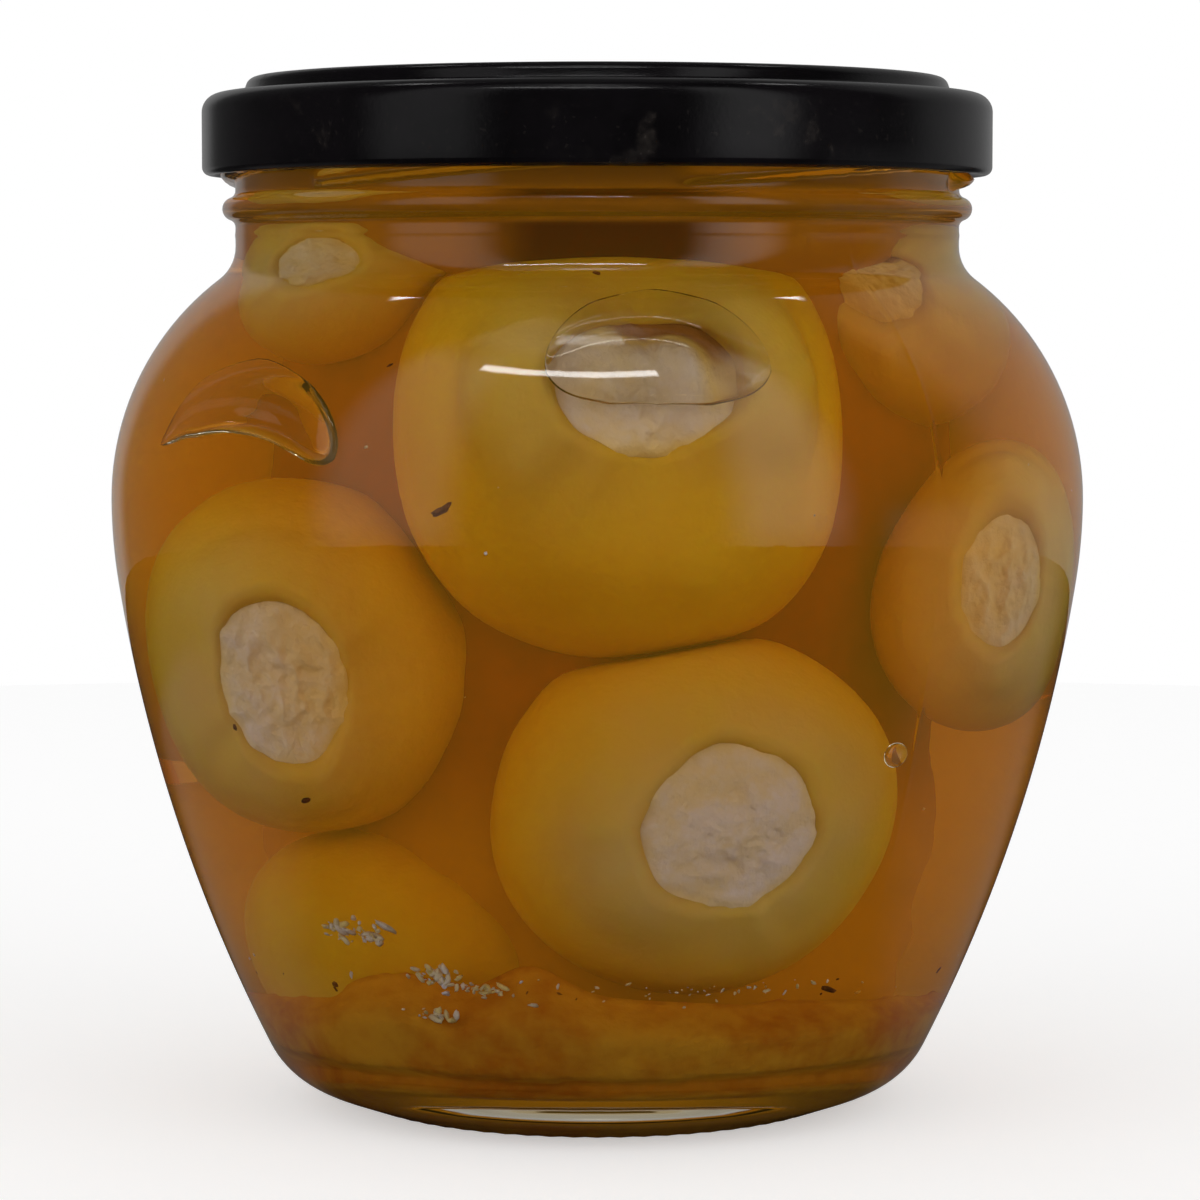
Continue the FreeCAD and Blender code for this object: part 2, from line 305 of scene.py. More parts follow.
# ---------------- the jar's outline
@dataclass(frozen=True)
class JarOutline:
    """Sizes and tangent arcs of the jar's wall, the same ones that the solid is made from."""

    widest_radius: float = 0.05272
    widest_height: float = 0.06572
    belly_radius: float = 0.0578
    taper_radius: float = 0.1717
    heel_radius: float = 0.00934
    underside_slope: float = math.radians(19.9)
    underside_length: float = 0.00491
    ring_radius: float = 0.02546
    ring_round: float = 0.00211
    ring_flat: float = 0.001
    push_up: float = 0.003
    wall: float = 0.0028
    heel_floor: float = 0.0058
    floor_crown: float = 0.0019
    corner_radius: float = 0.008
    neck_radius: float = 0.0392
    neck_base: float = 0.09293
    neck_fillet: float = 0.00439
    row_step: float = 0.0012

    @property
    def under(self) -> float:
        """Angle of the underside cone's outward normal."""
        return self.underside_slope - math.pi / 2.0

    @property
    def heel(self) -> Pair:
        """Centre of the heel's round."""
        start = self.polar((self.ring_radius, self.ring_round), self.ring_round, self.under)
        end = self.polar(start, self.underside_length, self.underside_slope)
        return self.polar(end, -self.heel_radius, self.under)

    @property
    def belly(self) -> Pair:
        """Centre of the belly's arc."""
        return self.widest_radius - self.belly_radius, self.widest_height

    @property
    def taper(self) -> Pair:
        """Centre of the long taper, tangent to the belly and the heel."""
        first = self.taper_radius - self.belly_radius
        second = self.taper_radius - self.heel_radius
        dr = self.heel[0] - self.belly[0]
        dz = self.heel[1] - self.belly[1]
        gap = math.hypot(dr, dz)
        along = (first ** 2 - second ** 2 + gap ** 2) / (2.0 * gap)
        side = math.sqrt(first ** 2 - along ** 2)
        foot = (self.belly[0] + along * dr / gap, self.belly[1] + along * dz / gap)
        choices = [(foot[0] + s * side * dz / gap, foot[1] - s * side * dr / gap) for s in (1, -1)]
        return min(choices)

    @property
    def neck(self) -> Pair:
        """Centre of the fillet between the shoulder and the neck."""
        return self.neck_radius + self.neck_fillet, self.neck_base

    @property
    def shoulder_radius(self) -> float:
        """Radius of the shoulder's arc, tangent to the widest ring and the neck's fillet."""
        step = self.neck[0] - self.widest_radius
        rise = self.neck_base - self.widest_height
        return (step ** 2 + rise ** 2 - self.neck_fillet ** 2) / (2.0 * (self.neck_fillet - step))

    @property
    def shoulder(self) -> Pair:
        """Centre of the shoulder's arc."""
        return self.widest_radius - self.shoulder_radius, self.widest_height

    @property
    def inner_corner(self) -> Pair:
        """Centre of the round between the inner wall and the floor."""
        height = self.heel_floor + self.corner_radius
        span = self.taper_radius - self.wall - self.corner_radius
        reach = math.sqrt(span ** 2 - (height - self.taper[1]) ** 2)
        return self.taper[0] + reach, height

    @staticmethod
    def polar(centre: Pair, radius: float, angle: float) -> Pair:
        """Point at an angle round a centre."""
        return centre[0] + radius * math.cos(angle), centre[1] + radius * math.sin(angle)

    @staticmethod
    def toward(a: Pair, b: Pair) -> float:
        """Angle of the line from one point to another."""
        return math.atan2(b[1] - a[1], b[0] - a[0])

    def side(self, inset: float) -> list[Pair]:
        """Wall (radius, height) upward from the taper's foot to the neck's base, inset from outside."""
        foot = self.toward(self.taper, self.inner_corner if inset > 0.0 else self.heel)
        belly_end = self.toward(self.taper, self.belly)
        shoulder_end = self.toward(self.shoulder, self.neck)
        return [
            *arc_points(self.taper, self.taper_radius - inset, foot, belly_end, self.row_step),
            *arc_points(self.belly, self.belly_radius - inset, belly_end, 0.0, self.row_step),
            *arc_points(self.shoulder, self.shoulder_radius - inset, 0.0, shoulder_end, self.row_step),
            *arc_points(self.neck, self.neck_fillet + inset, shoulder_end + math.pi, math.pi,
                        self.row_step / 2.0),
        ]

    def underside(self) -> list[Pair]:
        """Outside from the axis to the heel: dome, standing ring, cone and heel."""
        inside = (self.ring_radius - self.ring_flat, self.ring_round)
        ring = (self.ring_radius, self.ring_round)
        dome_radius = ((inside[0] ** 2 + (inside[1] - self.push_up) ** 2 - self.ring_round ** 2)
                       / (2.0 * self.push_up))
        dome = (0.0, self.push_up - dome_radius)
        tip = self.toward(dome, inside)
        heel_end = self.toward(self.taper, self.heel)
        return [
            *arc_points(dome, dome_radius, math.pi / 2.0, tip, 2.0 * self.row_step),
            *arc_points(inside, self.ring_round, tip - math.pi, -math.pi / 2.0, self.row_step / 4.0),
            *arc_points(ring, self.ring_round, -math.pi / 2.0, self.under, self.row_step / 4.0),
            *arc_points(self.heel, self.heel_radius, self.under, heel_end, self.row_step / 2.0),
        ]

    def floor(self, grown: float = 0.0) -> list[Pair]:
        """Inside from the axis to the inner wall's foot, grown out into the glass."""
        corner = self.inner_corner
        crown = self.heel_floor + self.floor_crown
        dome_radius = ((corner[0] ** 2 + (corner[1] - crown) ** 2 - self.corner_radius ** 2)
                       / (2.0 * self.floor_crown))
        dome = (0.0, crown - dome_radius)
        tip = self.toward(dome, corner)
        foot = self.toward(self.taper, corner)
        return [
            *arc_points(dome, dome_radius - grown, math.pi / 2.0, tip, 2.0 * self.row_step),
            *arc_points(corner, self.corner_radius + grown, tip - math.pi, foot, self.row_step / 2.0),
        ]

    def inside(self) -> Array:
        """Inner wall and floor as points, from the axis upward."""
        return without_repeats(self.floor() + self.side(self.wall))

    def inner_radius(self, height: Array) -> Array:
        """Radius of the inner wall at each height."""
        wall = without_repeats(self.side(self.wall))
        return np.interp(height, wall[:, 1], wall[:, 0])


@dataclass(frozen=True)
class FinishOutline:
    """Sizes of the neck above the shoulder: bead, thread lugs and sealing rim."""

    bead_rise: float = 0.00402
    bead_stand_out: float = 0.0014
    bead_round: float = 0.00125
    bead_fillet: float = 0.0008
    height: float = 0.01557
    rim_round: float = 0.0009
    lug_count: int = 6
    lug_stand_out: float = 0.00165
    lug_thickness: float = 0.0023
    lug_drop: float = 0.00985
    lug_pitch: float = 0.019
    lug_span: float = 57.0
    lug_first_angle: float = -137.5
    lug_ramp: float = 5.0
    lug_end_share: float = 0.3
    lug_end_fade: float = 0.15
    lug_nose: tuple[Pair, ...] = (
        (0.0, 0.0), (0.08, 0.5), (0.15, 0.75), (0.35, 1.0), (0.55, 0.75), (0.8, 0.25), (1.0, 0.0))
    row_step: float = 0.0002

    def outside(self, jar: JarOutline) -> list[Pair]:
        """Neck and bead upward to the foot of the rim's round, as (radius, height)."""
        middle = jar.neck_base + self.bead_rise
        bead = (jar.neck_radius + self.bead_stand_out - self.bead_round, middle)
        fillet = jar.neck_radius + self.bead_fillet
        offset = fillet - bead[0]
        drop = math.sqrt((self.bead_round + self.bead_fillet) ** 2 - offset ** 2)
        turn = math.atan2(drop, offset)
        rim = jar.neck_base + self.height
        step = self.row_step
        low = [(jar.neck_radius, h) for h in np.arange(jar.neck_base, middle - drop, step).tolist()]
        high = [(jar.neck_radius, h)
                for h in np.arange(middle + drop, rim - self.rim_round, step * 1.25).tolist()]
        return [
            *low,
            *arc_points((fillet, middle - drop), self.bead_fillet, math.pi, math.pi - turn, step),
            *arc_points(bead, self.bead_round, -turn, turn, step),
            *arc_points((fillet, middle + drop), self.bead_fillet, math.pi + turn, math.pi, step),
            *high,
        ]

    def rim(self, jar: JarOutline) -> list[Pair]:
        """Over the sealing rim, from the outside to the bore."""
        top = jar.neck_base + self.height
        bore = jar.neck_radius - jar.wall
        step = 1.5 * self.row_step
        outer = arc_points((jar.neck_radius - self.rim_round, top - self.rim_round), self.rim_round,
                           0.0, math.pi / 2.0, step)
        inner = arc_points((bore + self.rim_round, top - self.rim_round), self.rim_round,
                           math.pi / 2.0, math.pi, step)
        return outer + inner

    def lug_rise(self, jar: JarOutline, height: Array, angle: Array) -> Array:
        """How far the thread lugs stand out of the neck.

        Args:
            jar: the jar's outline.
            height: height of each row.
            angle: angle of each column in degrees from +X.

        Returns:
            The rise for each row and column.
        """
        spacing = 360.0 / self.lug_count
        along = (angle - self.lug_first_angle) % spacing
        end = np.clip(np.minimum(along, self.lug_span - along) / self.lug_ramp, 0.0, 1.0)
        share = self.lug_end_share + (1.0 - self.lug_end_share) * np.sin(end * math.pi / 2.0)
        share = share * smooth_step(end, 0.0, self.lug_end_fade)
        low = jar.neck_base + self.height - self.lug_drop + self.lug_pitch * along / 360.0
        part = (height[:, None] - low[None]) / self.lug_thickness
        nose = np.interp(part, *zip(*self.lug_nose))
        return self.lug_stand_out * share[None] * nose


# ---------------- shared shader effects
class Effect(enum.Enum):
    """Shader node groups that several finishes share."""

    MOTTLE = "mottled_colour"
    HANDLING = "handling_marks"
    RELIEF = "fine_relief"


@dataclass
class Nodes:
    """Short ways to place and join nodes in one tree."""

    tree: NodeTree

    def add(self, kind: str, **settings: object) -> Node:
        """Place a node and set its options."""
        node = self.tree.nodes.new(kind)
        for key, value in settings.items():
            setattr(node, key, value)
        return node

    def feed(self, source: object, target: NodeSocket) -> None:
        """Join a socket to an input, or set the input to a plain value."""
        if isinstance(source, NodeSocket):
            self.tree.links.new(source, target)
        else:
            target.default_value = source

    def put(self, node: Node, **values: object) -> None:
        """Feed a node's inputs by name, with _ for a space."""
        for name, value in values.items():
            self.feed(value, node.inputs[name.replace("_", " ")])

    def maths(self, operation: str, first: object, second: object = 0.0,
              clamp: bool = False) -> NodeSocket:
        """The result of a sum on one or two values, each a socket or a number."""
        node = self.add("ShaderNodeMath", operation=operation, use_clamp=clamp)
        self.feed(first, node.inputs[0])
        self.feed(second, node.inputs[1])
        return node.outputs[0]

    def times(self, first: object, second: object, clamp: bool = False) -> NodeSocket:
        """One value times another."""
        return self.maths("MULTIPLY", first, second, clamp)

    def plus(self, first: object, second: object, clamp: bool = False) -> NodeSocket:
        """One value plus another."""
        return self.maths("ADD", first, second, clamp)

    def rest(self, share: object) -> NodeSocket:
        """What a share leaves of one."""
        return self.maths("SUBTRACT", 1.0, share)

    def noise(self, vector: object, scale: object, detail: float = 3.0,
              roughness: float = 0.55) -> NodeSocket:
        """A noise texture's value, with its scale in lumps a metre."""
        node = self.add("ShaderNodeTexNoise")
        self.put(node, Vector=vector, Scale=scale, Detail=detail, Roughness=roughness)
        return node.outputs[0]

    def ramp(self, value: object, low: object, high: object, bottom: object = 0.0,
             top: object = 1.0, smooth: bool = True) -> NodeSocket:
        """A value carried from the range low to high onto bottom to top, and held at its ends."""
        kind = "SMOOTHSTEP" if smooth else "LINEAR"
        node = self.add("ShaderNodeMapRange", interpolation_type=kind)
        for source, target in zip((value, low, high, bottom, top), node.inputs[:5]):
            self.feed(source, target)
        return node.outputs[0]

    def blend(self, share: object, first: object, second: object) -> NodeSocket:
        """A colour between two others, the first one where the share is 0."""
        node = self.add("ShaderNodeMix", data_type="RGBA")
        self.feed(share, node.inputs[0])
        self.feed(first, node.inputs[6])
        self.feed(second, node.inputs[7])
        return node.outputs[2]

    def place(self) -> NodeSocket:
        """Place on the object, in metres."""
        return self.add("ShaderNodeTexCoord").outputs["Object"]

    def stain(self) -> NodeSocket:
        """The value that the mesh carries at each point."""
        return self.add("ShaderNodeAttribute", attribute_name="stain").outputs["Fac"]

    def axes(self, vector: object) -> tuple[NodeSocket, ...]:
        """The three coordinates of a place or direction."""
        split = self.add("ShaderNodeSeparateXYZ")
        self.feed(vector, split.inputs[0])
        return tuple(split.outputs)


def colour(red: float, green: float, blue: float) -> Colour:
    """A linear colour with full cover."""
    return red, green, blue, 1.0


def grey(value: float) -> Colour:
    """A linear grey with full cover."""
    return colour(value, value, value)


class EffectShelf:
    """Builds each shared node group once and places it in materials."""

    def __init__(self) -> None:
        """Build the groups."""
        self.groups = {
            Effect.MOTTLE: self.mottle(),
            Effect.HANDLING: self.handling(),
            Effect.RELIEF: self.relief(),
        }

    @staticmethod
    def start(effect: Effect, inputs: dict[str, tuple[str, object]],
              outputs: dict[str, str]) -> tuple[Nodes, Node, Node]:
        """Make an empty group from socket types and values, with its input and output nodes."""
        tree = bpy.data.node_groups.new(effect.value, "ShaderNodeTree")
        for name, (kind, value) in inputs.items():
            socket = tree.interface.new_socket(name=name, in_out="INPUT", socket_type=kind)
            socket.default_value = value
        for name, kind in outputs.items():
            tree.interface.new_socket(name=name, in_out="OUTPUT", socket_type=kind)
        nodes = Nodes(tree)
        return nodes, nodes.add("NodeGroupInput"), nodes.add("NodeGroupOutput")

    def mottle(self) -> NodeTree:
        """Two colours in soft patches, with a finer grain over them."""
        nodes, given, made = self.start(
            Effect.MOTTLE,
            {"Main": ("NodeSocketColor", colour(0.5, 0.5, 0.5)),
             "Patch": ("NodeSocketColor", colour(0.4, 0.4, 0.4)),
             "Lumps a metre": ("NodeSocketFloat", 100.0),
             "Grain": ("NodeSocketFloat", 0.1)},
            {"Colour": "NodeSocketColor", "Mask": "NodeSocketFloat"})
        place = nodes.place()
        broad = nodes.noise(place, given.outputs["Lumps a metre"])
        fine = nodes.noise(place, nodes.times(given.outputs["Lumps a metre"], 7.0), 2.0)
        mask = nodes.ramp(broad, 0.32, 0.68)
        grain = nodes.ramp(fine, 0.25, 0.75, nodes.times(given.outputs["Grain"], -1.0),
                           given.outputs["Grain"], smooth=False)
        share = nodes.plus(mask, grain, clamp=True)
        shade = nodes.blend(share, given.outputs["Main"], given.outputs["Patch"])
        nodes.put(made, Colour=shade, Mask=share)
        return nodes.tree

    def handling(self) -> NodeTree:
        """Smears, dust and dried spots, as a roughness and a mask."""
        nodes, given, made = self.start(
            Effect.HANDLING,
            {"Clean": ("NodeSocketFloat", 0.1),
             "Marked": ("NodeSocketFloat", 0.3),
             "Lumps a metre": ("NodeSocketFloat", 60.0),
             "Cover": ("NodeSocketFloat", 0.4),
             "Dots": ("NodeSocketFloat", 0.6)},
            {"Roughness": "NodeSocketFloat", "Mask": "NodeSocketFloat"})
        place = nodes.place()
        broad = nodes.noise(place, given.outputs["Lumps a metre"], 4.0, 0.62)
        specks = nodes.noise(place, nodes.times(given.outputs["Lumps a metre"], 16.0), 1.0)
        edge = nodes.rest(given.outputs["Cover"])
        smear = nodes.ramp(broad, edge, nodes.plus(edge, 0.25))
        dots = nodes.ramp(specks, 0.66, 0.74)
        mask = nodes.plus(smear, nodes.times(dots, given.outputs["Dots"]), clamp=True)
        rough = nodes.ramp(mask, 0.0, 1.0, given.outputs["Clean"], given.outputs["Marked"], smooth=False)
        nodes.put(made, Roughness=rough, Mask=mask)
        return nodes.tree

    def relief(self) -> NodeTree:
        """Height of a fine, uneven surface."""
        nodes, given, made = self.start(
            Effect.RELIEF,
            {"Lumps a metre": ("NodeSocketFloat", 400.0), "Depth": ("NodeSocketFloat", 1.0)},
            {"Height": "NodeSocketFloat"})
        place = nodes.place()
        broad = nodes.noise(place, given.outputs["Lumps a metre"], 4.0, 0.6)
        nodes.put(made, Height=nodes.times(broad, given.outputs["Depth"]))
        return nodes.tree

    def put(self, nodes: Nodes, effect: Effect, **values: object) -> Node:
        """Place an effect in a material, with its input values by name, _ for a space."""
        node = nodes.add("ShaderNodeGroup", node_tree=self.groups[effect])
        nodes.put(node, **values)
        return node


# ---------------- finishes
@dataclass(frozen=True)
class Finish:
    """Two mottled colours over a surface, with its roughness and a fine relief.

    The lumps are counted a metre, and rough is the roughness at the main colour and at the patches.
    """

    name: str = "finish"
    main: Colour = grey(0.5)
    patch: Colour = grey(0.4)
    lumps: float = 60.0
    grain: float = 0.1
    rough: Pair = (0.5, 0.7)
    index: float = 1.1
    relief_lumps: float = 0.0
    relief_depth: float = 0.0

    def begin(self, suffix: str = "") -> tuple[Material, Nodes, Node]:
        """Make an empty material, given back with its nodes and its shader node."""
        material = bpy.data.materials.new(self.name + suffix)
        material.use_nodes = True
        nodes = Nodes(material.node_tree)
        return material, nodes, material.node_tree.nodes["Principled BSDF"]

    def make(self, shelf: EffectShelf, suffix: str = "") -> Material:
        """Make the material.

        Args:
            shelf: the shared effects.
            suffix: added to the name.

        Returns:
            The material.
        """
        material, nodes, shader = self.begin(suffix)
        shade, rough = self.shade(shelf, nodes, self.mottled(shelf, nodes))
        nodes.put(shader, Base_Color=shade, Roughness=rough, IOR=self.index)
        if self.relief_depth > 0.0:
            relief = shelf.put(nodes, Effect.RELIEF, Lumps_a_metre=self.relief_lumps, Depth=1.0)
            self.bump(nodes, shader, relief.outputs["Height"], self.relief_depth)
        return material

    def shade(self, shelf: EffectShelf, nodes: Nodes, base: Node) -> tuple[object, object]:
        """The base colour and the roughness, each a socket or a plain value."""
        return base.outputs["Colour"], nodes.ramp(base.outputs["Mask"], 0.0, 1.0, *self.rough)

    def mottled(self, shelf: EffectShelf, nodes: Nodes) -> Node:
        """The node with the finish's two colours in patches."""
        return shelf.put(nodes, Effect.MOTTLE, Main=self.main, Patch=self.patch,
                         Lumps_a_metre=self.lumps, Grain=self.grain)

    @staticmethod
    def bump(nodes: Nodes, shader: Node, height: object, distance: float) -> None:
        """Feed a height from 0 to 1 into the shader's normal, a full step being distance metres."""
        bump = nodes.add("ShaderNodeBump")
        nodes.put(bump, Distance=distance, Height=height)
        nodes.put(shader, Normal=bump.outputs["Normal"])


@dataclass(frozen=True)
class ClearGlass(Finish):
    """Clear flint glass with a faint wave and some handling smears outside."""

    name: str = "clear_glass"
    main: Colour = colour(0.985, 0.992, 0.985)
    patch: Colour = colour(0.972, 0.985, 0.975)
    lumps: float = 40.0
    grain: float = 0.05
    index: float = GLASS_INDEX
    wet_index: float = GLASS_INDEX / OIL_INDEX
    smear_lumps: float = 45.0
    wave_lumps: float = 70.0
    wave_depth: float = 0.00003
    ripple_lumps: float = 420.0
    ripple_share: float = 0.22

    def make(self, shelf: EffectShelf, suffix: str = "") -> Material:
        """Make the outside's material, with smears and waves."""
        return self.make_glass(shelf, suffix, self.index, 0.05, 0.42, True)

    def make_wet(self, shelf: EffectShelf) -> Material:
        """Make the inside's material, where oil lies against the glass."""
        return self.make_glass(shelf, "_wet", self.wet_index, 0.01, 0.3, False)

    def make_glass(self, shelf: EffectShelf, suffix: str, index: float, smeared: float,
                   cover: float, waves: bool) -> Material:
        """Make one of the glass's materials.

        Args:
            shelf: the shared effects.
            suffix: added to the name.
            index: refraction against what lies beyond the surface.
            smeared: roughness at a smear.
            cover: share of the surface with smears.
            waves: true for a faint wave.

        Returns:
            The material.
        """
        material, nodes, shader = self.begin(suffix)
        marks = shelf.put(nodes, Effect.HANDLING, Clean=0.0, Marked=smeared,
                          Lumps_a_metre=self.smear_lumps, Cover=cover)
        nodes.put(shader, Base_Color=self.mottled(shelf, nodes).outputs["Colour"],
                  Roughness=marks.outputs["Roughness"], IOR=index, Transmission_Weight=1.0)
        if waves:
            ripple = nodes.noise(nodes.place(), self.ripple_lumps, 1.0)
            wave = nodes.noise(nodes.place(), self.wave_lumps, 0.0)
            height = nodes.plus(wave, nodes.times(ripple, self.ripple_share))
            self.bump(nodes, shader, height, self.wave_depth)
        return material


@dataclass(frozen=True)
class CloudyOil(Finish):
    """Amber oil that takes out blue first, then green, and has a faint glow of its own through its depth,
    painted light standing in for the light that its cloudiness scatters.
    """

    name: str = "cloudy_oil"
    main: Colour = colour(1.0, 0.995, 0.97)
    patch: Colour = colour(0.995, 0.98, 0.93)
    bubble_index: float = 1.38
    side_index: float = 1.001
    density: float = 60.0
    absorbed: Colour = colour(0.85, 0.63, 0.14)
    # painted light: colour of the oil's own glow through its depth
    cloud: Colour = colour(1.0, 0.56, 0.03)
    cloud_light: float = 3.8

    def make_side(self, shelf: EffectShelf) -> Material:
        """Make the surface that lies against the glass, which carries the oil's body."""
        material, nodes = self.make_clear(shelf, "", self.side_index)
        body = nodes.add("ShaderNodeVolumeAbsorption")
        nodes.put(body, Color=self.absorbed, Density=self.density)
        # painted light: the oil's glow of its own, added to its absorption
        cloud = nodes.add("ShaderNodeEmission")
        nodes.put(cloud, Color=self.cloud, Strength=self.cloud_light)
        both = nodes.add("ShaderNodeAddShader")
        nodes.feed(body.outputs[0], both.inputs[0])
        nodes.feed(cloud.outputs[0], both.inputs[1])
        nodes.put(nodes.tree.nodes["Material Output"], Volume=both.outputs[0])
        return material

    def make_free(self, shelf: EffectShelf) -> Material:
        """Make the surface that meets air: the level and the bubbles."""
        return self.make_clear(shelf, "_free", self.bubble_index)[0]

    def make_clear(self, shelf: EffectShelf, suffix: str, index: float) -> tuple[Material, Nodes]:
        """Make a clear surface with the oil's faint, uneven tint."""
        material, nodes, shader = self.begin(suffix)
        nodes.put(shader, Base_Color=self.mottled(shelf, nodes).outputs["Colour"], Roughness=0.0,
                  IOR=index, Transmission_Weight=1.0)
        return material, nodes


@dataclass(frozen=True)
class PepperSkin(Finish):
    """Pale, waxy pickled pepper skin, milky where cheese has rubbed off on it."""

    name: str = "pepper_skin"
    main: Colour = colour(0.74, 0.49, 0.022)
    patch: Colour = colour(0.70, 0.41, 0.011)
    milky: Colour = colour(0.76, 0.60, 0.34)
    lumps: float = 55.0
    grain: float = 0.08
    rough: Pair = (0.38, 0.6)
    index: float = 1.08
    relief_lumps: float = 240.0
    relief_depth: float = 0.00025
    rub_lumps: float = 110.0
    rub_cover: Pair = (0.55, 0.95)
    under_skin: float = 0.3
    under_skin_reach: float = 0.003
    under_skin_colours: Triple = (1.0, 0.6, 0.15)

    def make(self, shelf: EffectShelf, suffix: str = "") -> Material:
        """Make the material, with light that goes a little way into the flesh."""
        material = super().make(shelf, suffix)
        nodes = Nodes(material.node_tree)
        nodes.put(nodes.tree.nodes["Principled BSDF"], Subsurface_Weight=self.under_skin,
                  Subsurface_Radius=self.under_skin_colours, Subsurface_Scale=self.under_skin_reach)
        return material

    def shade(self, shelf: EffectShelf, nodes: Nodes, base: Node) -> tuple[object, object]:
        """Blend to milky, and rougher, where the mesh is stained."""
        rubbed = nodes.noise(nodes.place(), self.rub_lumps, 3.0, 0.5)
        share = nodes.times(nodes.stain(), nodes.ramp(rubbed, 0.2, 0.8, *self.rub_cover), clamp=True)
        shade = nodes.blend(share, base.outputs["Colour"], self.milky)
        return shade, nodes.ramp(share, 0.0, 1.0, *self.rough)


@dataclass(frozen=True)
class Cheese(Finish):
    """Crumbly white cheese, creamier in patches, soaked at its edge, and painted brown as shade in its
    hollows.
    """

    name: str = "cheese"
    main: Colour = colour(0.82, 0.76, 0.94)
    patch: Colour = colour(0.80, 0.70, 0.66)
    soaked: Colour = colour(0.82, 0.64, 0.26)
    # painted shade: brown of the cheese's hollows
    hollowed: Colour = colour(0.34, 0.13, 0.025)
    hollow_stain: Pair = (1.1, 1.9)
    lumps: float = 260.0
    grain: float = 0.25
    rough: Pair = (0.75, 0.55)
    relief_lumps: float = 1100.0
    relief_depth: float = 0.00025

    def shade(self, shelf: EffectShelf, nodes: Nodes, base: Node) -> tuple[object, object]:
        """Blend to soaked up to a mesh value of 1, and above it to the brown painted shade of a hollow."""
        fresh, rough = super().shade(shelf, nodes, base)
        stain = nodes.stain()
        wet = nodes.blend(nodes.ramp(stain, 0.0, 1.0, smooth=False), fresh, self.soaked)
        return nodes.blend(nodes.ramp(stain, *self.hollow_stain), wet, self.hollowed), rough


@dataclass(frozen=True)
class SettledCrumb(Finish):
    """The layer of crumb and pepper pulp that has sunk to the floor of the jar."""

    name: str = "settled_crumb"
    main: Colour = colour(0.50, 0.15, 0.006)
    patch: Colour = colour(0.66, 0.30, 0.02)
    lumps: float = 70.0
    grain: float = 0.35
    rough: Pair = (0.5, 0.8)
    index: float = 1.08
    relief_lumps: float = 700.0
    relief_depth: float = 0.0002


@dataclass(frozen=True)
class PulpHaze(Finish):
    """Colour standing in for the cloudy oil's depth: amber, with painted light making it paler low and
    high, and painted shade making it dark brown under the lid's middle.

    The pairs are the heights or the distances from the middle between which a colour changes.
    """

    name: str = "painted_oil_depth"
    main: Colour = colour(0.33, 0.085, 0.003)
    patch: Colour = colour(0.24, 0.05, 0.002)
    # painted shade: dark brown under the lid's middle; painted light: upper and lower are paler amber, high
    # and low
    shaded: Colour = colour(0.08, 0.008, 0.001)
    upper: Colour = colour(0.48, 0.20, 0.014)
    lower: Colour = colour(0.52, 0.235, 0.012)
    lower_end: Pair = (0.030, 0.046)
    upper_start: Pair = (0.066, 0.082)
    shaded_start: Pair = (0.080, 0.090)
    shaded_end: Pair = (0.0945, 0.0975)
    shaded_side: Pair = (0.006, 0.015)
    shaded_middle: float = 0.001
    grain: float = 0.05
    index: float = 1.02

    def shade(self, shelf: EffectShelf, nodes: Nodes, base: Node) -> tuple[object, object]:
        """Blend the colours by height as painted light and shade, and to the painted shade colour in the
        middle near the top, under the lid.
        """
        across, _, height = nodes.axes(nodes.place())
        shade = nodes.blend(nodes.ramp(height, *self.lower_end), self.lower, base.outputs["Colour"])
        shade = nodes.blend(nodes.ramp(height, *self.upper_start), shade, self.upper)
        aside = nodes.maths("ABSOLUTE", nodes.plus(across, -self.shaded_middle))
        dark = nodes.times(nodes.ramp(aside, *self.shaded_side, 1.0, 0.0),
                           nodes.ramp(height, *self.shaded_end, 1.0, 0.0))
        dark = nodes.times(nodes.ramp(height, *self.shaded_start), dark)
        return nodes.blend(dark, shade, self.shaded), 1.0


@dataclass(frozen=True)
class HerbSpeck(Finish):
    """Dark brown flecks of skin and seed."""

    name: str = "herb_specks"
    main: Colour = colour(0.10, 0.032, 0.008)
    patch: Colour = colour(0.24, 0.085, 0.018)
    lumps: float = 700.0
    grain: float = 0.3


@dataclass(frozen=True)
class LidLacquer(Finish):
    """Black satin lacquer on pressed steel, with dust and dried drips on the skirt."""

    name: str = "lid_lacquer"
    main: Colour = colour(0.0022, 0.0018, 0.0022)
    patch: Colour = colour(0.004, 0.0032, 0.004)
    dust: Colour = colour(0.045, 0.036, 0.03)
    lumps: float = 90.0
    grain: float = 0.2
    rough: Pair = (0.17, 0.42)
    index: float = 1.32
    relief_lumps: float = 1800.0
    relief_depth: float = 0.00001
    mark_lumps: float = 110.0
    mark_cover: float = 0.4
    mark_dots: float = 0.12
    dust_everywhere: float = 0.12

    def shade(self, shelf: EffectShelf, nodes: Nodes, base: Node) -> tuple[object, object]:
        """Lay dust where the handling marks meet the mesh's stain."""
        marks = shelf.put(nodes, Effect.HANDLING, Clean=self.rough[0], Marked=self.rough[1],
                          Lumps_a_metre=self.mark_lumps, Cover=self.mark_cover, Dots=self.mark_dots)
        share = nodes.times(marks.outputs["Mask"], nodes.plus(nodes.stain(), self.dust_everywhere),
                            clamp=True)
        return nodes.blend(share, base.outputs["Colour"], self.dust), marks.outputs["Roughness"]


@dataclass(frozen=True)
class LidLiner(Finish):
    """The lid's cream lining, darkened as painted shade under the lid."""

    name: str = "lid_lacquer_inside"
    # painted shade: cream darkened for the shade under the lid
    main: Colour = colour(0.28, 0.24, 0.18)
    patch: Colour = colour(0.24, 0.2, 0.14)
    lumps: float = 120.0
    grain: float = 0.2
    rough: Pair = (0.35, 0.5)
    index: float = 1.5


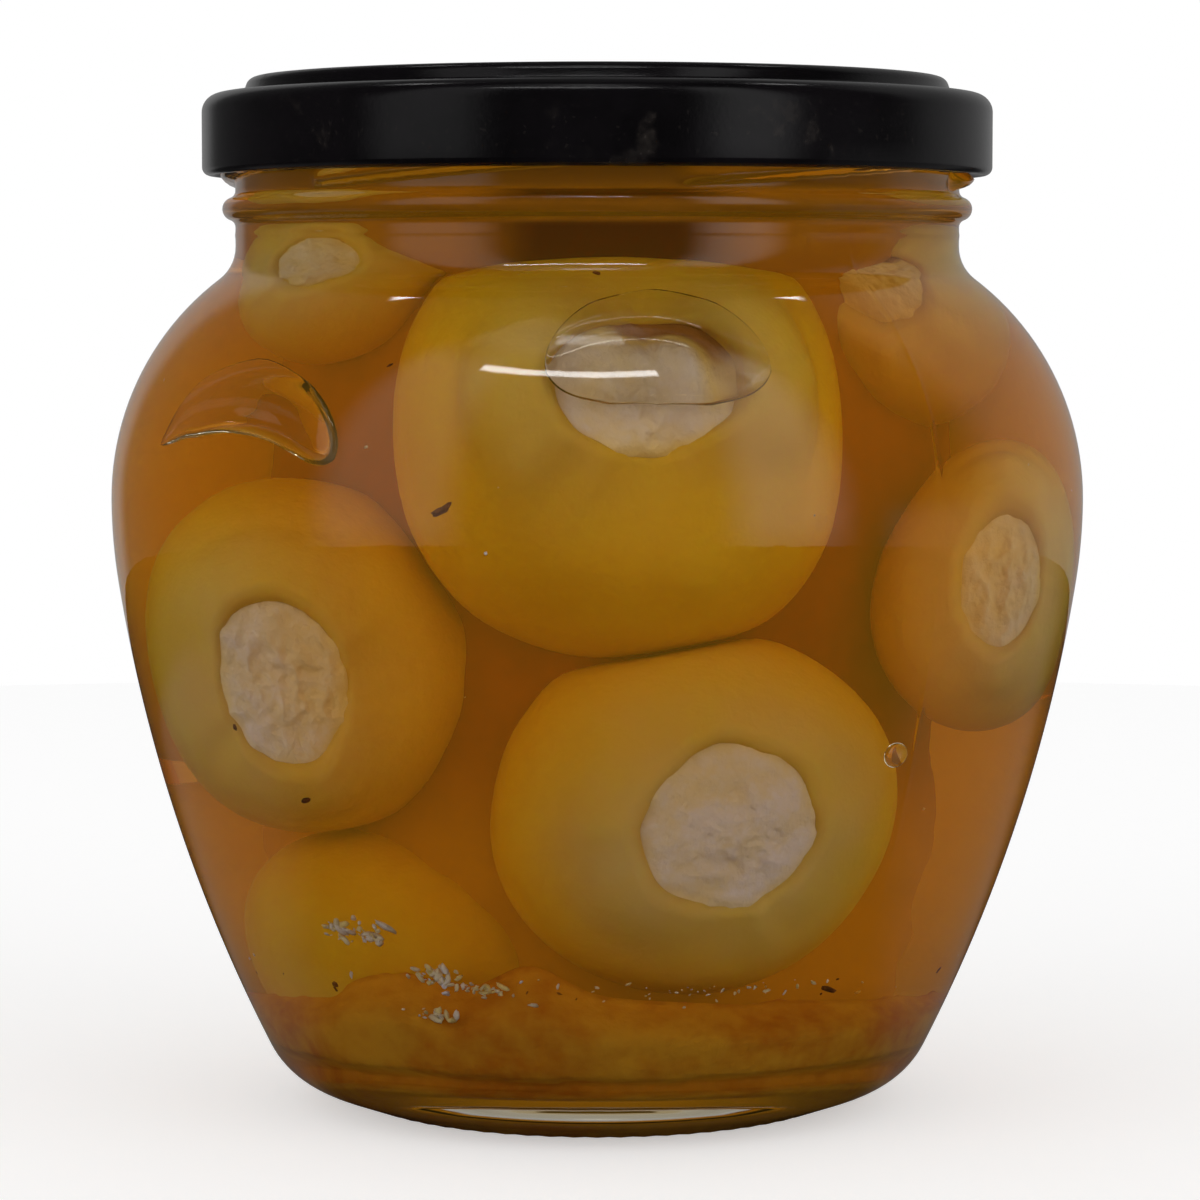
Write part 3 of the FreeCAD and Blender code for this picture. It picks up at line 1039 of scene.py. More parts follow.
# ---------------- glass jar
@dataclass
class GlassJar:
    """The moulded jar: wall, base, bead, lugs, seams and knurled standing ring."""

    outline: JarOutline
    finish: FinishOutline
    oil_level: float
    columns: int = 264
    seam_angle: float = 40.8
    seam_rise: float = 0.00004
    seam_width: float = 0.0003
    seam_from: Pair = (0.02, 0.05)
    seam_columns: tuple[float, ...] = (-0.7, -0.45, -0.22, 0.0, 0.22, 0.45, 0.7)
    column_gap: float = 0.35
    parting_rise: float = 0.00005
    parting_above_base: float = 0.00117
    knurls: int = 66
    knurl_depth: float = 0.00016
    knurl_reach: float = 0.0012

    def angles(self) -> Array:
        """Angles of the columns, closer together at the two mould seams."""
        even = np.arange(self.columns) * 360.0 / self.columns - 180.0
        close = [seam + shift for seam in self.seams() for shift in self.seam_columns]
        kept = [a for a in even if min(abs(a - c) for c in close) > self.column_gap]
        return np.array(sorted(kept + close))

    def seams(self) -> Pair:
        """Angles of the two mould seams from +X."""
        first = FRONT_ANGLE + self.seam_angle
        return first, first + 180.0

    def outside_rise(self, profile: Array, angles: Array) -> Array:
        """Radial rise of lugs, seams and parting line over the outside.

        Args:
            profile: outside points as (radius, height).
            angles: column angles in degrees.

        Returns:
            The rise for each row and column.
        """
        height = profile[:, 1]
        neck = self.outline.neck_base
        rise = self.finish.lug_rise(self.outline, height, angles)
        rise[height < neck + self.finish.bead_rise] = 0.0
        on_side = smooth_step(height, *self.seam_from) * (height < neck + self.finish.bead_rise * 2.0)
        for seam in self.seams():
            apart = np.radians(angles - seam)[None] * profile[:, :1]
            rise += self.seam_rise * np.exp(-(apart / self.seam_width) ** 2) * on_side[:, None]
        parting = (height - neck - self.parting_above_base) / self.seam_width
        rise += (self.parting_rise * np.exp(-parting ** 2) * (height > neck - 0.002))[:, None]
        return rise

    def build(self, shelf: EffectShelf) -> Piece:
        """Build and dress the jar, and give back its piece."""
        jar = self.outline
        angles = self.angles()
        outer = without_repeats(jar.underside() + jar.side(0.0) + self.finish.outside(jar))[1:]
        rim = without_repeats(self.finish.rim(jar))
        bore = jar.neck_radius - jar.wall
        low = np.arange(self.oil_level - jar.row_step, jar.neck_base, -jar.row_step).tolist()
        bore_rows = [(bore, (rim[-1, 1] + self.oil_level) / 2.0), (bore, self.oil_level)]
        bore_rows += [(bore, h) for h in low]
        inner = without_repeats(bore_rows + jar.side(jar.wall)[::-1] + jar.floor()[::-1])[:-1]
        rise = self.outside_rise(outer, angles)
        radius = np.vstack([outer[:, :1] + rise,
                            np.repeat(rim[:, :1], len(angles), axis=1),
                            np.repeat(inner[:, :1], len(angles), axis=1)])
        height = np.concatenate([outer[:, 1], rim[:, 1], inner[:, 1]])
        turn = np.radians(angles)
        knurl = self.knurl_depth * (0.5 + 0.5 * np.cos(self.knurls * turn))
        on_ring = np.exp(-((outer[:, 0] - jar.ring_radius + jar.ring_flat / 2.0) / self.knurl_reach) ** 2)
        on_ring *= outer[:, 1] < jar.ring_round
        lift = np.zeros(radius.shape)
        lift[:len(outer)] = on_ring[:, None] * knurl[None]
        rings = revolve(radius, height[:, None] + lift, turn)
        bands = (height[:-1] + height[1:]) / 2.0
        wet_from = len(outer) + len(rim)
        slots = [1 if i >= wet_from and h < self.oil_level else 0 for i, h in enumerate(bands)]
        parts = MeshParts()
        start = np.array([0.0, 0.0, jar.push_up])
        end = np.array([0.0, 0.0, jar.heel_floor + jar.floor_crown])
        parts.spin(rings, start, end, [0, *slots, 1])
        glass = ClearGlass()
        piece = parts.piece("glass_wall", [glass.make(shelf), glass.make_wet(shelf)])
        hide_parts("glass_jar")
        return piece


# ---------------- lid
@dataclass
class TwistLid:
    """The pressed steel lid: raised panel, channel, skirt, rolled hem and hooking tabs."""

    outline: JarOutline
    finish: FinishOutline
    sheet: float = 0.0008
    skirt_clearance: float = 0.0011
    skirt_corner: float = 0.002
    crown_inset: float = 0.00445
    crown_lean: float = 0.0006
    crown_rise: float = 0.00176
    crown_round: float = 0.0011
    crown_root_round: float = 0.00045
    crown_band: float = 0.006
    panel_sink: float = 0.0006
    panel_lean: float = 0.0012
    button_radius: float = 0.011
    button_rise: float = 0.00035
    button_lean: float = 0.0015
    soft_round: float = 0.0009
    hem_round: float = 0.0009
    tab_thickness: float = 0.0007
    tab_bite: float = 0.00075
    tab_start: float = 50.0
    tab_span: float = 7.0
    tab_clearance: float = 0.00005
    tab_round: float = 0.00018
    tab_stations: int = 6
    round_step: float = 0.00025
    longest_step: float = 0.0016
    lining_rows: int = 14
    dust_edge: Pair = (0.0012, 0.0003)
    dust_height: float = 0.0035
    dust_spread: float = 0.002
    channel_dust: float = 0.4
    channel_dust_reach: Pair = (0.0009, 0.0007)
    columns: int = 288

    @property
    def rim_height(self) -> float:
        """Height of the sealing rim."""
        return self.outline.neck_base + self.finish.height

    @property
    def tab_top(self) -> float:
        """Height of the tabs' upper faces."""
        climb = self.finish.lug_pitch * self.tab_start / 360.0
        return self.rim_height - self.finish.lug_drop + climb - self.tab_clearance

    @property
    def lug_reach(self) -> float:
        """Outer radius of the glass lugs."""
        return self.outline.neck_radius + self.finish.lug_stand_out

    @property
    def skirt_radius(self) -> float:
        """Outer radius of the skirt."""
        return self.lug_reach + self.skirt_clearance + self.sheet

    def corners(self) -> list[Triple]:
        """Corners of the lid's section, from the top of the button out and back under it."""
        channel = self.rim_height + self.sheet
        crown = channel + self.crown_rise
        panel = crown - self.panel_sink
        root = self.skirt_radius - self.crown_inset
        border = root - self.crown_lean - self.crown_band
        hem = self.tab_top - self.tab_thickness
        hem_in = self.skirt_radius - 2.0 * self.hem_round
        skirt_in = self.skirt_radius - self.sheet
        hem_top = hem + 2.0 * self.hem_round
        tight = 0.98 * self.hem_round
        outside = [
            (0.0, panel + self.button_rise, 0.0),
            (self.button_radius, panel + self.button_rise, self.soft_round),
            (self.button_radius + self.button_lean, panel, self.soft_round),
            (border - self.panel_lean, panel, self.soft_round),
            (border, crown, self.soft_round),
            (root - self.crown_lean, crown, self.crown_round),
            (root, channel, self.crown_root_round),
            (self.skirt_radius, channel, self.skirt_corner),
            (self.skirt_radius, hem, tight),
            (hem_in, hem, tight),
        ]
        inside = [
            (hem_in, hem_top, 0.4 * self.hem_round),
            (skirt_in, hem_top, 0.2 * self.hem_round),
            (skirt_in, self.rim_height, self.skirt_corner - self.sheet),
            (root - self.sheet, self.rim_height, self.crown_root_round),
            (root - self.crown_lean - self.sheet, crown - self.sheet, self.crown_root_round),
            (border + self.sheet, crown - self.sheet, self.soft_round),
            (border + self.sheet - self.panel_lean, panel - self.sheet, self.soft_round),
            (self.button_radius + self.button_lean, panel - self.sheet, self.soft_round),
            (self.button_radius, panel + self.button_rise - self.sheet, self.soft_round),
            (0.0, panel + self.button_rise - self.sheet, 0.0),
        ]
        return outside + inside

    def rows(self) -> Array:
        """Section of the lid as points, the long straight runs divided."""
        points = rounded_outline(self.corners()[::-1], self.round_step)
        divided = [points[0]]
        for point in points[1:]:
            last = divided[-1]
            count = max(1, int(math.dist(point, last) / self.longest_step))
            for i in range(1, count + 1):
                share = i / count
                divided.append((last[0] + (point[0] - last[0]) * share,
                                last[1] + (point[1] - last[1]) * share))
        return without_repeats(divided)[1:-1]

    def tab(self, index: int) -> Array:
        """Points round one tab's section, a row for each station."""
        start = self.finish.lug_first_angle + self.tab_start + 360.0 * index / self.finish.lug_count
        inner = self.lug_reach - self.tab_bite
        outer = self.skirt_radius - self.hem_round
        low = self.tab_top - self.tab_thickness
        soft = self.tab_round
        section = [(inner + soft, low), (outer, low), (outer, self.tab_top), (inner + soft, self.tab_top),
                   (inner, self.tab_top - soft), (inner, low + soft)]
        stations = np.radians(start + np.linspace(0.0, self.tab_span, self.tab_stations))
        return np.array([[(r * math.cos(t), r * math.sin(t), z) for r, z in section] for t in stations])

    def dust(self, rings: Array) -> Array:
        """Share of dust and drips at each point, round the skirt and in the channel's corner."""
        out = np.hypot(rings[..., 0], rings[..., 1])
        height = rings[..., 2]
        drip = height - (self.tab_top - self.tab_thickness) - self.dust_height
        outer, inner = (self.skirt_radius - inset for inset in self.dust_edge)
        share = smooth_step(out, outer, inner) * (0.35 + 0.65 * np.exp(-(drip / self.dust_spread) ** 2))
        aside = (out - (self.skirt_radius - self.crown_inset)) / self.channel_dust_reach[0]
        low = np.abs(height - self.rim_height - self.sheet) < self.channel_dust_reach[1]
        return share + self.channel_dust * np.exp(-aside ** 2) * low

    def build(self, shelf: EffectShelf) -> Piece:
        """Build and dress the lid, and give back its piece."""
        rows = self.rows()
        rings = revolve(rows[:, :1], rows[:, 1:], turns(self.columns))
        corners = self.corners()
        start = np.array([0.0, 0.0, corners[-1][1]])
        end = np.array([0.0, 0.0, corners[0][1]])
        parts = MeshParts()
        lining = int(np.argmin(rows[:, 1])) - self.lining_rows
        bands = [1 if i < lining else 0 for i in range(len(rows) + 1)]
        parts.spin(rings, start, end, bands, self.dust(rings))
        for index in range(self.finish.lug_count):
            tab = self.tab(index)
            parts.spin(tab, tab[0].mean(axis=0), tab[-1].mean(axis=0))
        piece = parts.piece("lid_shell", [LidLacquer().make(shelf), LidLiner().make(shelf)])
        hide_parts("lid")
        return piece


# ---------------- oil and its bubbles
@dataclass(frozen=True)
class Bubble:
    """An air bubble held against the glass, as a run of ellipsoids along a curve."""

    path: tuple[Triple, ...]
    half_widths: tuple[float, ...]
    half_depth: float
    film: float = 0.0003
    columns: int = 28
    rows: int = 36
    bluntness: float = 6.0
    depth_bluntness: float = 4.0
    smoothings: int = 6
    soft: float = 0.0004

    def shell(self, jar: JarOutline) -> tuple[Array, Array, Array]:
        """Points of the bubble's skin, with its normals inward.

        Args:
            jar: the jar's outline, which the bubble keeps clear of.

        Returns:
            Rings of points, the first pole and the last pole.
        """
        knots = np.array(self.path)
        share = np.linspace(0.0, 1.0, len(knots))
        at = 0.5 - 0.5 * np.cos(np.linspace(0.0, math.pi, self.rows + 2))
        line = np.stack([np.interp(at, share, knots[:, i]) for i in range(3)], axis=1)
        for _ in range(self.smoothings):
            line[1:-1] = (line[:-2] + 2.0 * line[1:-1] + line[2:]) / 4.0
        along = np.gradient(line, axis=0)
        along /= np.linalg.norm(along, axis=1)[:, None]
        across = np.cross(along, outward(line))
        across /= np.linalg.norm(across, axis=1)[:, None]
        out = np.cross(across, along)
        width = np.interp(at, share, self.half_widths) * self.fullness(at, self.bluntness)
        depth = self.half_depth * self.fullness(at, min(self.bluntness, self.depth_bluntness))
        turn = -turns(self.columns)
        rings = (line[:, None] + width[:, None, None] * across[:, None] * np.cos(turn)[None, :, None]
                 + depth[:, None, None] * out[:, None] * np.sin(turn)[None, :, None])
        flat = rings.reshape(-1, 3)
        reach = np.hypot(flat[:, 0], flat[:, 1])
        held = soft_limit(reach, jar.inner_radius(flat[:, 2]) - self.film, self.soft)
        flat[:, :2] *= (held / reach)[:, None]
        rings = flat.reshape(rings.shape)
        return rings[1:-1], rings[0].mean(axis=0), rings[-1].mean(axis=0)

    @staticmethod
    def fullness(at: Array, bluntness: float) -> Array:
        """Share of the full width at each place along the bubble, 0 at both ends."""
        return np.sqrt(np.maximum(1.0 - np.abs(2.0 * at - 1.0) ** bluntness, 0.0))


@dataclass
class OilFill:
    """The oil that fills the jar, reaching a little into the wall so that no gap shows."""

    outline: JarOutline
    level: float
    bite: float = 0.00015
    columns: int = 180
    level_rings: tuple[float, ...] = (1.0, 0.9, 0.7, 0.5, 0.3, 0.1)
    bubbles: tuple[Bubble, ...] = ()

    def build(self, shelf: EffectShelf) -> Piece:
        """Build and dress the oil, and give back its piece."""
        jar = self.outline
        bore = jar.neck_radius - jar.wall + self.bite
        side = jar.floor(self.bite)[1:] + jar.side(jar.wall - self.bite)
        climb = [(bore, h) for h in np.arange(jar.neck_base, self.level, jar.row_step).tolist()[1:]]
        top = [(bore * share, self.level) for share in self.level_rings]
        rows = without_repeats(side + climb + top)
        rings = revolve(rows[:, :1], rows[:, 1:], turns(self.columns))
        parts = MeshParts()
        start = np.array([0.0, 0.0, jar.heel_floor + jar.floor_crown - self.bite])
        free_rows = len(top) - 1
        bands = [0] * (len(rows) - free_rows) + [1] * (free_rows + 1)
        parts.spin(rings, start, np.array([0.0, 0.0, self.level]), bands)
        for bubble in self.bubbles:
            skin, first, last = bubble.shell(jar)
            parts.spin(skin, first, last, 1)
        oil = CloudyOil()
        piece = parts.piece("oil_fill", [oil.make_side(shelf), oil.make_free(shelf)])
        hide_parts("oil")
        return piece


# ---------------- peppers
@dataclass(frozen=True)
class PepperForm:
    """The form that all the peppers share.

    Depths and heights with no unit are shares of the pepper's radius, and those called lip shares
    are shares of the lip's round. Lengths in metres end in _m.
    """

    columns: int = 96
    squash: float = 0.93
    stations: int = 60
    dent_depth: float = 0.06
    dent_width: float = 0.22
    lip_m: float = 0.0014
    lip_in: float = 0.7
    lip_down: float = 0.75
    lip_arc: Pair = (math.radians(60.0), math.pi)
    lip_step_m: float = 0.0003
    cavity_depth: float = 0.42
    cavity_in: float = 1.7
    cavity_floor_m: float = 0.0005
    lobes_of_four: float = 0.012
    lobes_of_three: float = 0.01
    swell: float = 0.022
    swell_size: float = 1.1
    ragged: float = 0.09
    ragged_size: float = 0.7
    ragged_from: float = 0.55
    press_soft_m: float = 0.0005
    smear_reach: Pair = (2.3, 0.8)
    smear_share: float = 0.62
    smear_patch_m: float = 0.009
    plug_in: float = 0.9
    plug_depth: float = 0.38
    plug_rings: int = 34
    plug_crest: float = 0.15
    plug_bulge: float = 0.05
    plug_edge_drop: float = 0.35
    lump_m: Pair = (0.00055, 0.0045)
    crease_m: Pair = (0.00050, 0.0026)
    grain_m: Pair = (0.00022, 0.0009)
    crease_stain: float = 0.45
    crease_gain: float = 700.0
    edge_stain: float = 0.6
    edge_from: float = 0.75
    hollow_from: Pair = (0.42, 0.66)
    # value that marks the cheese's hollow for painted brown shade
    hollow_stain: float = 2.0


@dataclass
class Pepper:
    """One stuffed cherry pepper: where it lies, how big it is and where it opens.

    Opening is the mouth's share of the radius, smear and soak are how far cheese has rubbed off and
    oil has soaked in, oval stretches the mouth, rise stretches the upper half, and hollow is the
    angle, width and depth of a hollow in the cheese, painted brown as shade.
    """

    name: str
    centre: Triple
    radius: float
    facing: Triple
    firm: float = 0.0
    opening: float = 0.44
    smear: float = 0.5
    seed: int = 1
    oval: float = 0.0
    soak: float = 0.0
    rise: float = 1.0
    hollow: Triple = (0.0, 1.0, 0.0)
    form: PepperForm = PepperForm()
    presses: list[tuple[Array, float]] = field(default_factory=list)

    @property
    def axis(self) -> Array:
        """Unit vector out of the opening."""
        return unit(np.array(self.facing))

    @property
    def opening_radius(self) -> float:
        """Radius of the opening's edge."""
        return self.opening * self.radius

    @property
    def mouth(self) -> float:
        """Height of the opening's edge above the middle, along the axis."""
        return self.form.squash * math.sqrt(self.radius ** 2 - self.opening_radius ** 2)

    def outline(self) -> Array:
        """Section of the flesh from the blossom end round to the hollow's floor."""
        form = self.form
        angles = np.linspace(math.pi, math.asin(self.opening), form.stations)[1:]
        dent = form.dent_depth * self.radius * np.exp(-((math.pi - angles) / form.dent_width) ** 2)
        outside = [(self.radius * math.sin(a), form.squash * self.radius * math.cos(a) + d)
                   for a, d in zip(angles, dent)]
        edge = self.opening_radius
        centre = (edge - form.lip_in * form.lip_m, self.mouth - form.lip_down * form.lip_m)
        lip = arc_points(centre, form.lip_m, *form.lip_arc, form.lip_step_m)
        depth = form.cavity_depth * self.radius
        inside = [(edge - form.cavity_in * form.lip_m, self.mouth - form.lip_m - depth * share)
                  for share in (0.3, 0.6, 1.0)]
        inside += [(edge * share, inside[-1][1] - form.cavity_floor_m) for share in (0.6, 0.3)]
        return without_repeats(outside[:-2] + lip + inside, 1e-5)

    def to_world(self, out: Array, up: Array, turn: Array) -> Array:
        """Carry points given by distance out, height and turn from the pepper's axes to the jar's."""
        side, top = cross_axes(self.axis)
        around = np.cos(turn)[..., None] * side + np.sin(turn)[..., None] * top
        offset = out[..., None] * around + up[..., None] * self.axis
        offset[..., 2] *= np.where(offset[..., 2] > 0.0, self.rise, 1.0)
        return np.array(self.centre) + offset

    def pole(self, up: float) -> Array:
        """The point on the pepper's axis at a height."""
        return self.to_world(np.array(0.0), np.array(up), np.array(0.0))

    def grid(self, rows: Array) -> tuple[Array, Array, Array, Array]:
        """Turn, distance out, height and swelling of each point of a section spread round the axis."""
        columns = self.form.columns
        turn = np.repeat(turns(columns)[None], len(rows), axis=0)
        out = np.repeat(rows[:, :1], columns, axis=1)
        up = np.repeat(rows[:, 1:], columns, axis=1)
        return turn, out, up, 1.0 + self.wobble(turn, up)

    def wobble(self, turn: Array, up: Array) -> Array:
        """Share by which the flesh swells in lobes and soft dents."""
        form = self.form
        flat = np.stack([np.cos(turn).ravel(), np.sin(turn).ravel(), up.ravel() / self.radius], axis=1)
        lobes = form.lobes_of_four * np.cos(4.0 * turn + self.seed)
        lobes = lobes + form.lobes_of_three * np.cos(3.0 * turn + 2.0 * self.seed)
        lobes = lobes + form.swell * rough_noise(flat, form.swell_size, self.seed, 2).reshape(turn.shape)
        ring = flat * np.array([1.0, 1.0, 0.0])
        ragged = rough_noise(ring, form.ragged_size, self.seed + 5, 3).reshape(turn.shape)
        near = smooth_step(up, form.ragged_from * self.mouth, self.mouth)
        return lobes + near * (form.ragged * ragged + self.oval * np.cos(2.0 * turn))

    def pressed(self, points: Array) -> Array:
        """Flatten the flesh softly where it presses on a neighbour."""
        for normal, reach in self.presses:
            past = (points - np.array(self.centre)) @ normal
            back = np.minimum(soft_limit(past, reach, self.form.press_soft_m) - past, 0.0)
            points = points + back[..., None] * normal
        return points

    def flesh(self) -> MeshParts:
        """Make the pepper's flesh, stained where cheese has rubbed off round the mouth."""
        form = self.form
        rows = self.outline()
        turn, out, up, swell = self.grid(rows)
        rings = self.pressed(self.to_world(out * swell, up * (1.0 + (swell - 1.0) * 0.5), turn))
        far, close = (share * self.opening_radius for share in form.smear_reach)
        near = smooth_step(np.hypot(out, up - self.mouth), far, close)
        patch = rough_noise(rings.reshape(-1, 3), form.smear_patch_m, self.seed + 40, 2).reshape(out.shape)
        mask = np.clip(form.smear_share * self.smear * near * (0.8 + 0.2 * patch), 0.0, 1.0)
        parts = MeshParts()
        parts.spin(rings, self.pressed(self.pole(rows[0, 1])), self.pole(rows[-1, 1]), 0, mask)
        return parts

    def stuffing(self) -> MeshParts:
        """Make the plug of cheese that fills the opening, stained at its edge and in its creases, its
        hollow marked for painted shade.
        """
        form = self.form
        edge = self.opening_radius - form.plug_in * form.lip_m
        foot = self.mouth - form.lip_m
        depth = form.plug_depth * self.radius
        body = [(edge * share, foot - depth) for share in (0.35, 0.7, 1.0)]
        body += [(edge, foot - depth * (1.0 - share)) for share in (0.3, 0.6, 0.9)]
        crest = self.mouth - form.plug_crest * form.lip_m
        bulge = form.plug_bulge * self.radius
        drop = form.plug_edge_drop * form.lip_m
        cap = [(edge * share, crest + bulge * (1.0 - share ** 2) - drop * share ** 8)
               for share in np.linspace(0.0, 1.0, form.plug_rings)[:0:-1]]
        rows = np.array(body + cap)
        turn, out, up, swell = self.grid(rows)
        rings = self.to_world(out * swell, up, turn)
        flat = rings.reshape(-1, 3)
        layers = [depth * noise for depth, noise in (
            (form.lump_m[0], rough_noise(flat, form.lump_m[1], self.seed + 7, 2)),
            (-form.crease_m[0], np.abs(rough_noise(flat, form.crease_m[1], self.seed + 11, 2))),
            (form.grain_m[0], rough_noise(flat, form.grain_m[1], self.seed + 19, 2)))]
        lumps = sum(layers).reshape(out.shape)
        on_cap = (np.arange(len(rows)) >= len(body))[:, None]
        middle, width, sink = self.hollow
        sunk = np.exp(-(degrees_apart(np.degrees(turn), middle) / width) ** 4)
        sunk = sunk * smooth_step(out / edge, *form.hollow_from)
        rings = rings + ((lumps - sink * sunk) * on_cap)[..., None] * self.axis
        rim = form.edge_stain * smooth_step(out / edge, form.edge_from, 1.0)
        creases = form.crease_stain * np.clip(-lumps * form.crease_gain, 0.0, 1.0)
        mask = np.clip(self.soak + rim + creases, 0.0, 1.0)
        parts = MeshParts()
        # the hollow gets a value above 1, which the cheese finish paints as brown shade
        parts.spin(rings, self.pole(rows[0, 1]), rings[-1].mean(axis=0), 0,
                   np.maximum(mask, form.hollow_stain * sunk * (sink > 0.0)))
        return parts


def front_peppers() -> list[Pepper]:
    """The peppers that lie against the front of the glass."""
    return [
        Pepper("pepper_1", (0.0015, -0.0285, 0.0747), 0.0200, (0.17, -0.90, 0.34), 1.0, 0.47, 0.5, 3, 0.24,
               soak=0.12, rise=0.96, hollow=(115.0, 74.0, 0.0016)),
        Pepper("pepper_2", (0.0083, -0.0250, 0.0390), 0.0180, (0.30, -0.95, -0.08), 1.0, 0.58, 1.2, 8, 0.04,
               rise=1.08),
        Pepper("pepper_3", (-0.0262, -0.0158, 0.0502), 0.0169, (-0.28, -0.95, -0.14), 1.0, 0.58, 1.0, 15,
               -0.14),
        Pepper("pepper_4", (0.0352, -0.0101, 0.0559), 0.0123, (0.32, -0.93, 0.22), 1.0, 0.62, 1.2, 23, -0.1,
               soak=0.35, rise=1.15),
        Pepper("pepper_5", (-0.018, -0.010, 0.0215), 0.0145, (-0.3, -0.2, -0.93), 0.6, 0.45, 0.6, 31),
        Pepper("pepper_6", (-0.0236, -0.0118, 0.0871), 0.0125, (-0.49, -0.83, 0.27), 1.0, 0.58, 0.8, 42,
               soak=0.6),
        Pepper("pepper_7", (0.0225, -0.004, 0.083), 0.0145, (0.1, -0.99, 0.05), 0.8, 0.58, 0.7, 57,
               soak=0.75, hollow=(90.0, 40.0, 0.0008)),
    ]


def hidden_peppers() -> list[Pepper]:
    """The peppers behind those, which show from the sides and the back."""
    return [
        Pepper("pepper_8", (-0.002, 0.022, 0.081), 0.0175, (-0.1, 0.97, 0.2), 0.0, 0.46, 0.5, 61),
        Pepper("pepper_9", (0.007, 0.022, 0.036), 0.0178, (0.3, 0.94, -0.1), 0.0, 0.48, 0.6, 72),
        Pepper("pepper_10", (-0.028, 0.017, 0.058), 0.0165, (-0.7, 0.7, 0.1), 0.0, 0.46, 0.6, 83),
        Pepper("pepper_11", (0.027, 0.021, 0.060), 0.0150, (0.75, 0.65, 0.05), 0.0, 0.48, 0.6, 94),
        Pepper("pepper_12", (-0.019, 0.019, 0.024), 0.0140, (-0.6, 0.75, -0.25), 0.0, 0.46, 0.5, 105),
        Pepper("pepper_13", (-0.002, 0.001, 0.057), 0.0115, (0.0, 0.3, 1.0), 0.0, 0.44, 0.3, 116),
    ]


@dataclass
class PepperPack:
    """All the peppers, settled so that they rest on each other and clear of the glass."""

    outline: JarOutline
    peppers: list[Pepper]
    wall_gap: float = 0.0004
    rounds: int = 160
    touch: float = 0.985
    wall_touch: float = 1.03
    press_within: float = 1.04
    press_gap: float = 0.00008

    def settle(self) -> None:
        """Move overlapping peppers apart and off the wall, the firm ones least."""
        inside = self.outline.inside()
        centres = np.array([p.centre for p in self.peppers])
        radii = np.array([p.radius for p in self.peppers])
        loose = np.array([1.02 - p.firm for p in self.peppers])
        for _ in range(self.rounds):
            for i, j in itertools.combinations(range(len(radii)), 2):
                apart = centres[j] - centres[i]
                gap = float(np.linalg.norm(apart))
                short = self.touch * (radii[i] + radii[j]) - gap
                if short > 0.0:
                    share = loose[i] / (loose[i] + loose[j])
                    push = 0.5 * short * apart / gap
                    speed = min(1.0, max(loose[i], loose[j]) * 2.0)
                    centres[i] -= push * share * speed
                    centres[j] += push * (1.0 - share) * speed
            for i, centre in enumerate(centres):
                out = math.hypot(centre[0], centre[1])
                apart = np.array([out, centre[2]]) - inside
                nearest = int(np.argmin(np.hypot(apart[:, 0], apart[:, 1])))
                gap = math.hypot(*apart[nearest])
                short = radii[i] * self.wall_touch + self.wall_gap - gap
                if short > 0.0:
                    step = apart[nearest] / gap * short
                    centres[i, 2] += step[1]
                    centres[i, :2] *= (out + step[0]) / max(out, 1e-6)
        for pepper, centre in zip(self.peppers, centres):
            pepper.centre = tuple(float(c) for c in centre)
            LOG.info("%s rests at %s mm", pepper.name, [round(float(c) * 1000.0, 1) for c in centre])

    def press(self) -> None:
        """Give each pair that still overlaps a flat where they press together."""
        for first, second in itertools.combinations(self.peppers, 2):
            apart = np.array(second.centre) - np.array(first.centre)
            gap = float(np.linalg.norm(apart))
            if gap >= self.press_within * (first.radius + second.radius):
                continue
            normal = apart / gap
            plane = (gap ** 2 + first.radius ** 2 - second.radius ** 2) / (2.0 * gap)
            first.presses.append((normal, plane - self.press_gap))
            second.presses.append((-normal, gap - plane - self.press_gap))

    def build(self, shelf: EffectShelf) -> list[Piece]:
        """Build and dress every pepper and its cheese.

        Args:
            shelf: the shared effects.

        Returns:
            The pieces.
        """
        self.settle()
        self.press()
        skin = PepperSkin().make(shelf)
        cheese = Cheese().make(shelf)
        pieces = []
        for pepper in self.peppers:
            flesh = pepper.flesh().piece(pepper.name, [skin])
            plug = pepper.stuffing().piece(pepper.name.replace("pepper", "stuffing"), [cheese])
            pieces += [flesh, plug]
        return pieces


